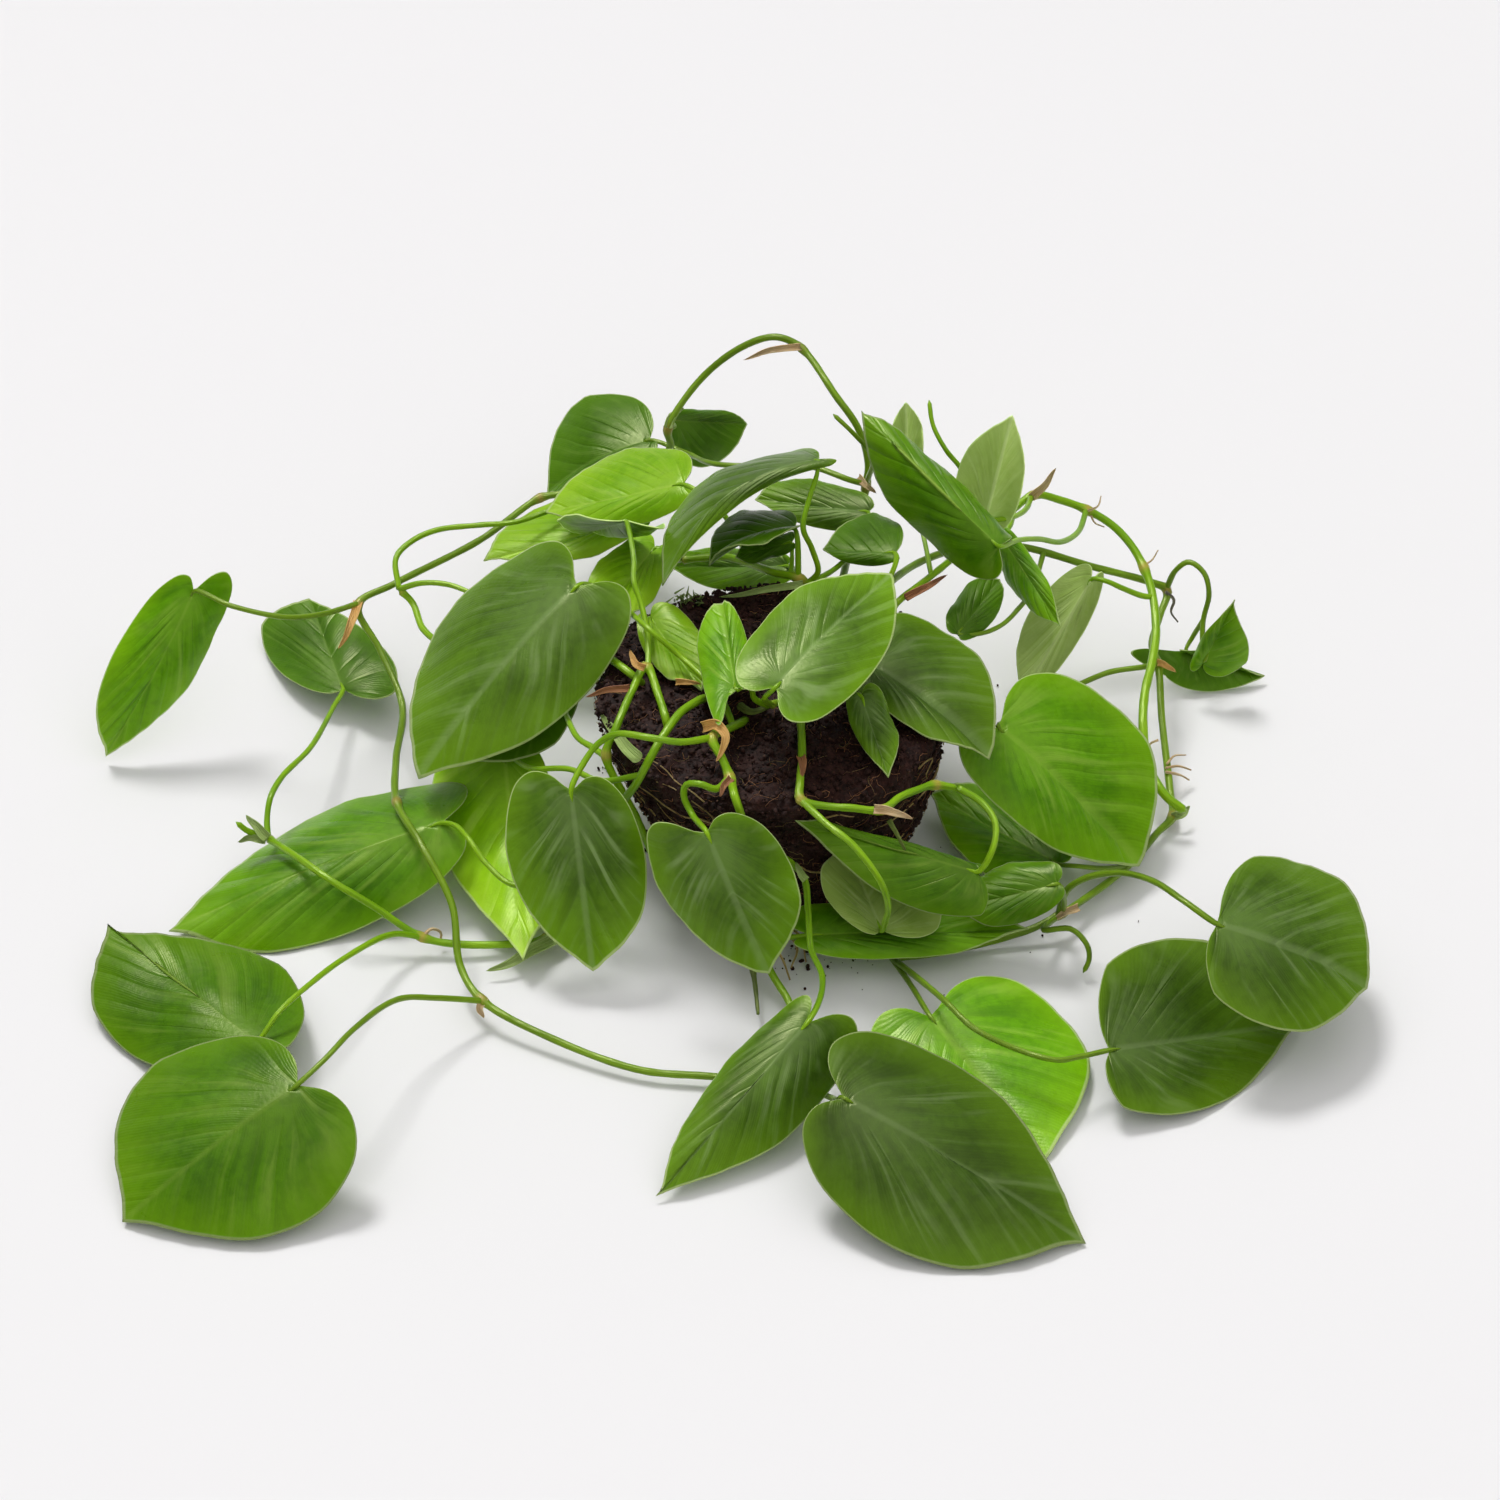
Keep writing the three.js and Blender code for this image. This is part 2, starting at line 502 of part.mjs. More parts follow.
    stem: [
      [890, 622, 54], [896, 604, 68], [930, 577, 68], [975, 540, 64], [1010, 512, 62], [1034, 495, 64],
      [1060, 500, 60], [1087, 510, 56], [1112, 525, 52], [1131, 545, 48], [1144, 568, 44],
      [1152, 592, 40],
      [1156, 630, 35], [1152, 662, 32], [1145, 692, 29], [1143, 725, 25], [1148, 765, 18],
      [1165, 795, 15],
      [1186, 812, 10],
    ],
    nodes: [[1034, 495, 64], [1087, 510, 56], [1144, 568, 44]],
    petioles: [
      { leaf: "leaf_back_right_pale", path: [[1034, 496, 64], [1024, 511, 70], [1004, 519, 76]] },
      { leaf: "leaf_back_right_under", path: [[1014, 511, 62], [1010, 526, 66]] },
      { leaf: "leaf_back_right_bright", path: [[1087, 511, 56], [1078, 532, 62], [1060, 542, 70],
        [1039, 539, 80], [1018, 540, 88]] },
      { leaf: "leaf_right_olive", path: [[1152, 597, 39], [1143, 596, 41], [1122, 588, 46],
        [1106, 581, 49]] },
      { leaf: "leaf_back_right_small", path: [[932, 576, 68], [922, 530, 72],
        [910, 490, 80]], radius: 0.9 },
      { path: [[977, 539, 64], [980, 510, 74], [962, 470, 90], [946, 450, 98], [933, 425, 104],
        [929, 400, 110]], radius: 1 },
    ] },
  { name: "vine_right_dark", green: "oldStem", radius: [1.4, 1.25],
    stem: [
      [862, 622, 54], [868, 604, 70], [920, 562, 60], [980, 545, 52], [1023, 547, 48], [1090, 566, 40],
      [1150, 582, 34], [1167, 590, 30], [1160, 615, 26], [1152, 645, 24], [1158, 665, 22],
      [1162, 720, 16],
      [1170, 790, 6], [1172, 817, 4], [1158, 832, 4], [1128, 866, 5], [1077, 904, 8], [1061, 914, 9],
      [1031, 929, 6], [980, 944, 3], [930, 954, 3], [892, 958, 3],
    ],
    nodes: [[1167, 590, 30], [1158, 665, 22], [1172, 817, 4], [1061, 914, 9], [892, 958, 3]],
    petioles: [
      { leaf: "leaf_right_shadow", path: [[1045, 553, 46], [1032, 590, 45], [1019, 608, 48],
        [1000, 626, 52],
        [978, 634, 55]], radius: 1 },
      { leaf: "leaf_far_right_young", path: [[1167, 590, 30], [1176, 570, 40], [1189, 562, 44],
        [1204, 573, 42],
        [1209, 594, 36], [1203, 622, 26]] },
      { leaf: "leaf_far_right", path: [[1203, 622, 26], [1192, 638, 17]], radius: 1 },
      { leaf: "leaf_big_right", path: [[1158, 665, 22], [1143, 667, 28], [1110, 672, 28], [1080, 684, 28],
        [1040, 702, 36], [1012, 720, 48]] },
      { leaf: "leaf_front_right_dark", path: [[1062, 913, 9], [1064, 900, 20]] },
      { leaf: "leaf_under_big_right", path: [[1128, 866, 5], [1100, 868, 12],
        [1076, 866, 16]], radius: 1 },
      { leaf: "leaf_low_right_top", path: [[1058, 915, 9], [1068, 889, 24], [1089, 877, 32],
        [1122, 873, 40],
        [1153, 881, 46], [1184, 901, 50]], radius: 1.25 },
      { leaf: "leaf_low_right_under", path: [[892, 958, 3], [914, 975, 12], [945, 1001, 22],
        [975, 1029, 22],
        [1019, 1050, 20], [1057, 1060, 20], [1078, 1057, 18]] },
      { leaf: "leaf_front_bright", path: [[893, 958, 3], [902, 972, 5], [914, 990, 9]] },
      { path: [[1060, 915, 9], [1044, 930, 13], [1071, 929, 15], [1087, 945, 12], [1089, 960, 7],
        [1083, 973, 3]], radius: 1.1 },
    ] },
];

function ballGeometry() {
  const profile = [
    [0, 0],
    [ballFootRadius - 2, 0],
    [ballFootRadius, 2],
    [THREE.MathUtils.lerp(ballFootRadius, ballTopRadius, 0.35), ballHeight * 0.32],
    [THREE.MathUtils.lerp(ballFootRadius, ballTopRadius, 0.7), ballHeight * 0.66],
    [ballTopRadius, ballHeight - 3],
    [ballTopRadius - 3, ballHeight],
    [ballTopRadius * 0.55, ballHeight + 1],
    [0, ballHeight + 1],
  ];
  const lathe = new THREE.LatheGeometry(
    profile.map(([radius, height]) => new THREE.Vector2(radius, height)),
    ballSides,
  );
  lathe.rotateX(Math.PI / 2);
  const place = lathe.attributes.position;
  for (let i = 0; i < place.count; i++) {
    const [x, y, z] = [place.getX(i), place.getY(i), place.getZ(i)];
    const turn = Math.atan2(y, x);
    const swell = z > 1 ? 1 + 0.018 * Math.sin(3 * turn + z / 11) + 0.012 * Math.sin(7 * turn - z / 17) : 1;
    place.setXYZ(i, x * swell + (ballLean * z) / ballHeight, y * swell, z);
  }
  return lathe;
}

// A line whose first point, or last one, is moved on by a length, so that a cut reaches past the piece
function reachPast({ points, normals, binormals }, end, length) {
  const beside = end === 0 ? 1 : end - 1;
  const moved = points.map((point) => point.clone());
  moved[end].addScaledVector(points[end].clone().sub(points[beside]).normalize(), length);
  return { points: moved, normals, binormals };
}

const plant = new THREE.Group();
function add(name, geometry, material) {
  const mesh = new THREE.Mesh(geometry, material);
  mesh.name = name;
  plant.add(mesh);
}

let ball = solid(ballGeometry());
const cuts = {};
for (const vine of vines) {
  const [startRadius, endRadius] = vine.radius;
  const stem = lineThrough(vine.stem);
  const lines = [stem];
  let body = solid(stemGeometry(stem, startRadius, endRadius, vineSides, vine.nodes));
  const hole = reachPast(stem, 0, 1);
  ball = ball.subtract(solid(stemGeometry(hole, startRadius + holeRoom, startRadius + holeRoom, vineSides)));
  for (const { leaf, path, radius = petioleRadius } of vine.petioles) {
    const places = [nearestOn(lines, path[0]), ...path.slice(1)];
    if (leaf) {
      places.push(leaves.find((each) => each.name === leaf).base);
    }
    const petiole = lineThrough(places);
    lines.push(petiole);
    body = body.add(solid(stemGeometry(petiole, radius, radius * 0.85, petioleSides)));
    if (leaf) {
      const wider = radius + seat;
      const cut = reachPast(petiole, petiole.points.length - 1, seat);
      cuts[leaf] = solid(stemGeometry(cut, wider, wider, petioleSides));
    }
  }
  add(vine.name, geometryOf(body), finish(greens[vine.green], 0.5));
}
add("root_ball", geometryOf(ball), finish(soil, 0.95));
for (const leaf of leaves) {
  const pieces = solid(bladeGeometry(leaf)).subtract(cuts[leaf.name]).decompose();
  const blade = pieces.reduce((best, each) => (each.volume() > best.volume() ? each : best));
  add(leaf.name, geometryOf(blade), finish(greens[leaf.green], 0.35));
}

export default plant;
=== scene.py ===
import bpy
import numpy as np
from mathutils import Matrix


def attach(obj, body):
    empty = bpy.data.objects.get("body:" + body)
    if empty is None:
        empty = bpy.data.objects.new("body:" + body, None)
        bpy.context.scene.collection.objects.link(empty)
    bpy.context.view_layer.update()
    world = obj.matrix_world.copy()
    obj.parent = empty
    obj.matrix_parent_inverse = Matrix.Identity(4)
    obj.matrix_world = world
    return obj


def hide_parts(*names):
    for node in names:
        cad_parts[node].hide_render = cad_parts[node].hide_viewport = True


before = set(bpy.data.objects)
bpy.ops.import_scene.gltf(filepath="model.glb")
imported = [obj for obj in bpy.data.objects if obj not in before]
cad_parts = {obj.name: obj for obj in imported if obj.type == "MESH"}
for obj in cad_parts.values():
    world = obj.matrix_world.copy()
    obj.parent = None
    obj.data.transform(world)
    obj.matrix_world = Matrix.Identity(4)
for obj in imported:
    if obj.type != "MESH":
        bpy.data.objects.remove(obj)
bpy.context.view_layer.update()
print("frame loaded:", len(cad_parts), "nodes")

metre = 0.001  # everything below is worked out in millimetres and put into the meshes in metres

# The photograph's view. A place is (pixel across, pixel down, height above the table in mm)
view = {"distance": 1250, "elevation": 40, "focalPixels": 3600, "framePixels": 1500, "footAcross": 785,
        "footDown": 835, "sensor": 36}
slope = np.radians(view["elevation"])
middle = view["framePixels"] / 2
forward = np.array([0, np.cos(slope), -np.sin(slope)])
upward = np.array([0, np.sin(slope), np.cos(slope)])
eye = upward * (view["footDown"] - middle) / view["focalPixels"] * view["distance"]
eye = eye - forward * view["distance"]
eye[0] = -(view["footAcross"] - middle) / view["focalPixels"] * view["distance"]


# The point at a given height that the photograph shows at a pixel: a ray from the eye cut by a level
# plane
def spot(place):
    across, down, height = place
    ray = forward + upward * (middle - down) / view["focalPixels"]
    ray = ray + np.array([(across - middle) / view["focalPixels"], 0, 0])
    return eye + ray * (height - eye[2]) / ray[2]


camera = bpy.data.objects.new("camera", bpy.data.cameras.new("camera"))
camera.data.sensor_width = view["sensor"]
camera.data.lens = view["focalPixels"] / view["framePixels"] * view["sensor"]
camera.location = eye * metre
camera.rotation_euler = (np.pi / 2 - slope, 0, 0)
bpy.context.collection.objects.link(camera)
bpy.context.scene.camera = camera


# A blade: its notch, its tip and the widest place of each half, left and right seen from above from the
# notch to the tip. arch lifts the midrib in mm, lobe stretches each half behind the notch and full makes
# it rounder
def makeLeaf(name, green, base, tip, left, right, arch=0, lobe=(1, 1), full=(1, 1)):
    return {"name": name, "green": green, "base": base, "tip": tip, "left": left, "right": right,
            "arch": arch, "lobe": lobe, "full": full}


# Blades from the left of the root ball, round its back, to its front
leaves = [
    # left of the root ball
    makeLeaf("leaf_far_left", "bright", [194, 591, 62], [106, 757, 3], [214, 640, 40], [114, 652, 42],
        arch=4),
    makeLeaf("leaf_left_dark", "deep", [343, 689, 12], [308, 597, 14], [264, 650, 4], [396, 668, 14]),
    makeLeaf("leaf_left_flat", "bright", [440, 823, 30], [168, 931, 3], [345, 935, 3.4], [356, 802, 13],
        arch=3),
    makeLeaf("leaf_low_left_back", "bright", [256, 1042, 18], [106, 922, 14], [124, 1050, 3],
        [284, 972, 9], full=(0.95, 0.55)),
    makeLeaf("leaf_low_left_front", "bright", [297, 1085, 32], [122, 1222, 2], [318, 1214, 8],
        [160, 1062, 18], arch=3),
    makeLeaf("leaf_big_left", "greyish", [577, 586, 90], [418, 779, 42], [590, 690, 66], [464, 596, 66],
        arch=4, full=(1.1, 1.3)),
    makeLeaf("leaf_under_big_left", "deep", [556, 675, 51], [446, 762, 34], [552, 744, 43],
        [470, 700, 40]),
    makeLeaf("leaf_left_folded", "yellowish", [505, 754, 33], [523, 959, 10], [560, 830, 21],
        [432, 804, 15]),
    makeLeaf("leaf_front_left_heart", "greyish", [571, 790, 64], [593, 972, 12], [646, 858, 44],
        [506, 845, 44], full=(1.2, 1.2)),
    makeLeaf("leaf_front_middle_heart", "greyish", [707, 833, 68], [770, 974, 24], [791, 862, 53],
        [656, 880, 48], full=(1, 1.6)),
    # behind and to the left
    makeLeaf("leaf_back_left_dark", "deep", [649, 440, 62], [546, 494, 38], [606, 486, 50],
        [590, 397, 60], arch=4),
    makeLeaf("leaf_back_left_folded", "deep", [672, 420, 62], [748, 424, 50], [704, 409, 60],
        [698, 467, 42]),
    makeLeaf("leaf_back_left_yellow", "yellowish", [682, 484, 86], [545, 512, 66], [640, 524, 72],
        [632, 450, 78]),
    makeLeaf("leaf_back_left_under", "yellowish", [635, 520, 64], [483, 560, 48], [588, 556, 56],
        [560, 502, 54]),
    makeLeaf("leaf_back_left_edge_on", "greyish", [626, 521, 92], [592, 534, 66], [663, 528, 84],
        [560, 516, 84]),
    makeLeaf("leaf_back_long", "greyish", [818, 459, 118], [662, 586, 82], [770, 486, 112],
        [724, 470, 98], arch=11, lobe=(0.5, 0.5)),
    makeLeaf("leaf_back_small_dark", "deep", [794, 528, 92], [708, 564, 82], [760, 542, 95],
        [744, 512, 84], arch=3),
    makeLeaf("leaf_back_slender", "deep", [792, 542, 82], [735, 557, 77], [768, 560, 76], [768, 538, 78]),
    makeLeaf("leaf_back_grey", "greyish", [868, 512, 78], [754, 499, 70], [830, 530, 70], [815, 481, 76]),
    makeLeaf("leaf_back_olive", "deep", [895, 553, 84], [822, 549, 78], [868, 566, 78], [876, 515, 80]),
    # behind and to the right
    makeLeaf("leaf_back_right_bright", "bright", [998, 546, 96], [860, 411, 116], [922, 538, 84],
        [970, 494, 98], arch=3, lobe=(1, 0.1)),
    makeLeaf("leaf_back_right_under", "bright", [1002, 538, 67], [1060, 626, 54], [1036, 562, 64],
        [1008, 580, 54]),
    makeLeaf("leaf_back_right_pale", "pale", [986, 519, 76], [1013, 414, 120], [1020, 500, 86],
        [956, 474, 90]),
    makeLeaf("leaf_back_right_small", "pale", [908, 470, 84], [906, 402, 108], [924, 445, 93.5],
        [891, 442, 93.5]),
    makeLeaf("leaf_right_olive", "pale", [1092, 579, 48], [1020, 700, 4], [1030, 612, 32],
        [1080, 640, 26]),
    makeLeaf("leaf_right_shadow", "deep", [958, 634, 56], [1000, 578, 60], [956, 598, 58],
        [992, 622, 54]),
    makeLeaf("leaf_far_right", "deep", [1186, 651, 14], [1265, 676, 3], [1216, 653, 14], [1184, 688, 3],
        lobe=(1, 5), full=(1, 1.3)),
    makeLeaf("leaf_far_right_young", "bright", [1204, 662, 17], [1235, 600, 42], [1196, 648, 21],
        [1246, 661, 16], full=(0.7, 0.6)),
    makeLeaf("leaf_big_right", "bright", [998, 727, 54], [1140, 866, 10], [1116, 704, 44],
        [1004, 814, 36], arch=4, full=(1.3, 1.3)),
    # over the soil
    makeLeaf("leaf_top_heart", "greyish", [776, 687, 98], [892, 573, 102], [764, 618, 102],
        [862, 686, 94], arch=4, full=(1.05, 1.2)),
    makeLeaf("leaf_top_small", "bright", [736, 690, 84], [722, 603, 86], [700, 672, 80], [749, 650, 86],
        lobe=(3.4, 1), full=(2, 1.6)),
    makeLeaf("leaf_top_right", "greyish", [866, 662, 75], [990, 758, 62], [950, 632, 72], [886, 714, 72],
        arch=3, full=(1.6, 1.1)),
    makeLeaf("leaf_top_narrow", "greyish", [861, 696, 82], [889, 777, 68], [892, 716, 76],
        [850, 722, 76]),
    makeLeaf("leaf_soil_bright", "yellowish", [650, 618, 72], [702, 690, 69], [700, 630, 72],
        [650, 662, 70]),
    makeLeaf("leaf_behind_big_left", "yellowish", [655, 548, 70], [592, 622, 70], [652, 600, 69],
        [600, 562, 70]),
    makeLeaf("leaf_behind_soil", "greyish", [786, 566, 58], [668, 566, 42], [745, 592, 46],
        [728, 548, 52]),
    # in front and to the right
    makeLeaf("leaf_front_right_upper", "bright", [978, 872, 42], [795, 820, 60], [926, 912, 34],
        [912, 848, 46], lobe=(0.4, 0.4)),
    makeLeaf("leaf_front_right_pale", "pale", [881, 930, 24], [846, 846, 38], [824, 893, 30],
        [940, 906, 24]),
    makeLeaf("leaf_front_right_dark", "bright", [1057, 884, 32], [956, 908, 22], [1018, 924, 20],
        [1012, 864, 30]),
    makeLeaf("leaf_front_right_boat", "bright", [811, 935, 16], [1029, 927, 14], [870, 900, 14],
        [896, 960, 11]),
    makeLeaf("leaf_under_big_right", "bright", [1058, 864, 12], [930, 792, 10], [984, 872, 8],
        [1020, 800, 10]),
    makeLeaf("leaf_low_right_top", "greyish", [1217, 924, 48], [1369, 987, 24], [1306, 862, 38],
        [1262, 1026, 28], arch=3, lobe=(0.6, 0.6), full=(1.3, 1.1)),
    makeLeaf("leaf_low_right_under", "greyish", [1110, 1050, 16], [1300, 1022, 3], [1160, 938, 20],
        [1184, 1115, 2.3], lobe=(0.5, 0.5)),
    makeLeaf("leaf_front_bright", "bright", [930, 1016, 12], [1044, 1160, 2], [1068, 1020, 6],
        [885, 1092, 3], full=(1.3, 1)),
    makeLeaf("leaf_front_largest", "greyish", [844, 1098, 30], [1087, 1242, 2], [944, 1056, 24],
        [884, 1244, 6], arch=3),
    makeLeaf("leaf_front_twisted", "greyish", [807, 1023, 32], [657, 1197, 3], [824, 1100, 12],
        [732, 1058, 22], arch=3),
]


# A stalk: the leaf at whose notch it ends, if any, and its places from where it leaves the stem
def makeStalk(leaf, *path, radius=None):
    return {"leaf": leaf, "path": path, "radius": radius}


# Each vine: its radius in mm at both ends, its main stem from its hole in the soil, the nodes on it and
# the stalks that grow from it
vines = [
    {"name": "vine_long", "green": "oldStem", "radius": [1.3, 1.25],
     "stem": [[836, 604, 54], [840, 588, 68], [850, 550, 66], [860, 515, 66], [866, 486, 74],
          [868, 462, 82], [858, 428, 94], [836, 396, 104], [800, 347, 112], [776, 337, 114],
          [742, 347, 108], [700, 380, 94], [668, 428, 80], [670, 448, 70], [640, 468, 60], [600, 482, 56],
          [560, 494, 54], [540, 498, 52], [480, 540, 48], [394, 584, 46], [358, 605, 44], [380, 650, 34],
          [402, 704, 27], [396, 760, 28], [397, 803, 30], [422, 846, 31], [452, 905, 22], [460, 965, 12],
          [482, 1000, 9], [553, 1039, 6], [640, 1070, 4], [706, 1076, 4], [760, 1080, 4]],
     "nodes": [[866, 486, 74], [800, 350, 112], [668, 428, 80], [540, 498, 52], [358, 605, 44],
          [397, 803, 30], [482, 1000, 9]],
     "stalks": [
        makeStalk("leaf_back_left_dark", [866, 486, 74], [850, 480, 78], [812, 467, 78], [770, 466, 76],
            [716, 464, 72], [684, 452, 62]),
        makeStalk("leaf_back_left_folded", [668, 428, 80], [674, 426, 70]),
        makeStalk("leaf_far_left", [358, 605, 44], [322, 614, 52], [284, 617, 58], [232, 606, 62]),
        makeStalk("leaf_low_left_front", [482, 1000, 9], [437, 998, 18], [399, 999, 26], [355, 1028, 34],
            [324, 1060, 35]),
        makeStalk("leaf_front_largest", [755, 1080, 4], [800, 1086, 5], [832, 1098, 12], [838, 1100, 22]),
        makeStalk(None, [867, 484, 75], [872, 456, 94], [854, 434, 104], [833, 414, 110], radius=1),
     ]},
    {"name": "vine_left_back", "green": "stem", "radius": [1.4, 1.2],
     "stem": [[648, 690, 55], [636, 678, 69], [604, 655, 69], [560, 640, 58], [500, 635, 52],
          [450, 645, 46], [424, 630, 44], [412, 602, 46], [399, 589, 50]],
     "nodes": [[399, 589, 50]],
     "stalks": [
        makeStalk("leaf_back_left_under", [400, 590, 50], [396, 558, 56], [412, 541, 58], [437, 530, 59],
            [480, 525, 60], [515, 522, 61], [560, 508, 63], [610, 502, 67], [634, 508, 67]),
        makeStalk(None, [400, 590, 50], [422, 583, 54], [450, 585, 55], [486, 600, 54]),
     ]},
    {"name": "vine_left_dark", "green": "stem", "radius": [1.4, 1.2],
     "stem": [[668, 742, 54], [667, 724, 69], [658, 694, 72], [646, 666, 75], [632, 691, 73],
          [616, 728, 69], [606, 755, 62], [624, 795, 50], [634, 812, 44], [650, 850, 28], [668, 890, 10],
          [680, 915, 4]],
     "nodes": [[646, 666, 75], [606, 755, 62]],
     "stalks": [
        makeStalk("leaf_back_left_edge_on", [646, 668, 75], [648, 640, 78], [641, 603, 84],
            [634, 582, 88], [634, 561, 90], [630, 535, 92]),
        makeStalk("leaf_soil_bright", [648, 640, 78], [650, 628, 76]),
        makeStalk("leaf_under_big_left", [606, 755, 62], [592, 747, 60], [579, 739, 59], [569, 722, 57],
            [562, 700, 54], [558, 680, 52]),
     ]},
    {"name": "vine_left_main", "green": "stem", "radius": [1.45, 1.2],
     "stem": [[716, 700, 54], [706, 698, 68], [696, 702, 75], [680, 713, 77], [660, 741, 75],
          [648, 762, 71], [636, 784, 62], [619, 807, 50], [590, 860, 30], [560, 915, 12], [546, 938, 5],
          [523, 943, 4], [456, 944, 5], [422, 937, 7], [373, 906, 17], [335, 883, 24], [297, 857, 24],
          [268, 838, 19]],
     "nodes": [[422, 937, 7], [268, 838, 19], [546, 938, 5]],
     "stalks": [
        makeStalk("leaf_left_folded", [640, 777, 66], [602, 781, 58], [569, 769, 52], [530, 768, 43]),
        makeStalk("leaf_left_flat", [606, 830, 42], [560, 880, 32], [514, 885, 30], [486, 863, 32],
            [468, 838, 35], [454, 825, 32]),
        makeStalk("leaf_low_left_back", [422, 937, 7], [394, 934, 12], [348, 956, 20], [310, 984, 24],
            [279, 1012, 24]),
        makeStalk("leaf_left_dark", [268, 838, 16], [267, 820, 22], [270, 799, 26], [281, 778, 26],
            [310, 748, 22], [334, 706, 15]),
        makeStalk(None, [268, 838, 16], [250, 832, 22], [236, 822, 27], radius=1.2),
     ]},
    {"name": "vine_middle", "green": "stem", "radius": [1.5, 1.25],
     "stem": [[752, 716, 56], [742, 722, 69], [726, 730, 75], [712, 738, 77], [722, 758, 74],
          [730, 778, 70], [735, 797, 71], [741, 815, 66], [748, 850, 44], [756, 900, 22], [768, 965, 9],
          [788, 1000, 5], [800, 1030, 4]],
     "nodes": [[712, 738, 77], [730, 778, 70]],
     "stalks": [
        makeStalk("leaf_front_left_heart", [712, 738, 77], [680, 742, 80], [652, 738, 81], [616, 734, 78],
            [599, 743, 74], [586, 759, 70], radius=1.25),
        makeStalk("leaf_front_middle_heart", [730, 778, 70], [716, 789, 70], [700, 784, 72],
            [686, 785, 70], [684, 797, 66], [692, 814, 62], radius=1.2),
        makeStalk("leaf_big_left", [732, 727, 73], [722, 700, 74], [700, 674, 76], [680, 656, 77],
            [650, 630, 84], [622, 606, 80], [598, 588, 82]),
        makeStalk("leaf_front_right_boat", [757, 905, 25], [768, 932, 20], [790, 937, 17]),
        makeStalk("leaf_front_twisted", [744, 840, 50], [772, 852, 46], [790, 862, 42], [804, 878, 38],
            [808, 910, 30], [811, 948, 24], [822, 975, 26], [818, 1004, 32], radius=1.2),
     ]},
    {"name": "vine_top", "green": "stem", "radius": [1.3, 1.2],
     "stem": [[872, 652, 55], [858, 664, 69], [840, 674, 71], [810, 690, 71], [784, 700, 71],
          [768, 706, 72]],
     "nodes": [[768, 706, 72], [840, 674, 71]],
     "stalks": [
        makeStalk("leaf_top_heart", [770, 705, 72], [765, 700, 84], [767, 695, 94]),
        makeStalk("leaf_top_small", [769, 705, 72], [754, 698, 78], [750, 684, 84]),
        makeStalk("leaf_top_right", [840, 674, 71], [856, 664, 74]),
        makeStalk("leaf_top_narrow", [826, 682, 71], [838, 690, 78], [852, 693, 82], radius=1),
     ]},
    {"name": "vine_back", "green": "stem", "radius": [1.5, 1.3],
     "stem": [[806, 600, 54], [808, 586, 70], [799, 578, 76], [773, 572, 74], [748, 563, 69],
          [726, 557, 66], [700, 558, 64], [680, 560, 63]],
     "nodes": [[799, 578, 76], [680, 560, 63]],
     "stalks": [
        makeStalk("leaf_back_long", [806, 584, 72], [818, 572, 78], [812, 549, 88], [803, 526, 100],
            [810, 496, 108], [817, 474, 114]),
        makeStalk("leaf_back_small_dark", [798, 577, 76], [798, 550, 86], [797, 536, 91]),
        makeStalk("leaf_back_slender", [790, 576, 76], [792, 560, 79], [792, 550, 80], radius=0.9),
        makeStalk("leaf_back_olive", [808, 586, 72], [850, 588, 76], [885, 582, 80], [894, 568, 84]),
        makeStalk("leaf_back_grey", [808, 586, 72], [836, 568, 74], [862, 540, 76], [868, 522, 78],
            radius=1),
        makeStalk("leaf_back_left_yellow", [748, 563, 69], [736, 532, 74], [716, 506, 80],
            [700, 493, 86]),
        makeStalk("leaf_behind_big_left", [682, 560, 63], [670, 552, 70]),
        makeStalk("leaf_behind_soil", [799, 578, 76], [796, 570, 70], radius=1),
     ]},
    {"name": "vine_front_right", "green": "stem", "radius": [1.4, 1.2],
     "stem": [[800, 706, 55], [801, 724, 69], [802, 757, 70], [800, 782, 70], [801, 800, 68],
          [826, 806, 67], [852, 808, 67], [881, 810, 65], [900, 797, 64], [917, 790, 63], [935, 785, 60],
          [958, 788, 58]],
     "nodes": [[801, 800, 68], [881, 810, 65], [935, 785, 60]],
     "stalks": [
        makeStalk("leaf_front_right_pale", [801, 800, 68], [828, 825, 68], [853, 845, 66], [879, 879, 58],
            [888, 904, 46], [885, 922, 32], radius=1.25),
        makeStalk("leaf_front_right_upper", [956, 788, 58], [981, 802, 56], [995, 822, 54],
            [993, 848, 50], radius=1.25),
     ]},
    {"name": "vine_right_bright", "green": "stem", "radius": [1.15, 1.7],
     "stem": [[890, 622, 54], [896, 604, 68], [930, 577, 68], [975, 540, 64], [1010, 512, 62],
          [1034, 495, 64], [1060, 500, 60], [1087, 510, 56], [1112, 525, 52], [1131, 545, 48],
          [1144, 568, 44], [1152, 592, 40], [1156, 630, 35], [1152, 662, 32], [1145, 692, 29],
          [1143, 725, 25], [1148, 765, 18], [1165, 795, 15], [1186, 812, 10]],
     "nodes": [[1034, 495, 64], [1087, 510, 56], [1144, 568, 44]],
     "stalks": [
        makeStalk("leaf_back_right_pale", [1034, 496, 64], [1024, 511, 70], [1004, 519, 76]),
        makeStalk("leaf_back_right_under", [1014, 511, 62], [1010, 526, 66]),
        makeStalk("leaf_back_right_bright", [1087, 511, 56], [1078, 532, 62], [1060, 542, 70],
            [1039, 539, 80], [1018, 540, 88]),
        makeStalk("leaf_right_olive", [1152, 597, 39], [1143, 596, 41], [1122, 588, 46], [1106, 581, 49]),
        makeStalk("leaf_back_right_small", [932, 576, 68], [922, 530, 72], [910, 490, 80], radius=0.9),
        makeStalk(None, [977, 539, 64], [980, 510, 74], [962, 470, 90], [946, 450, 98], [933, 425, 104],
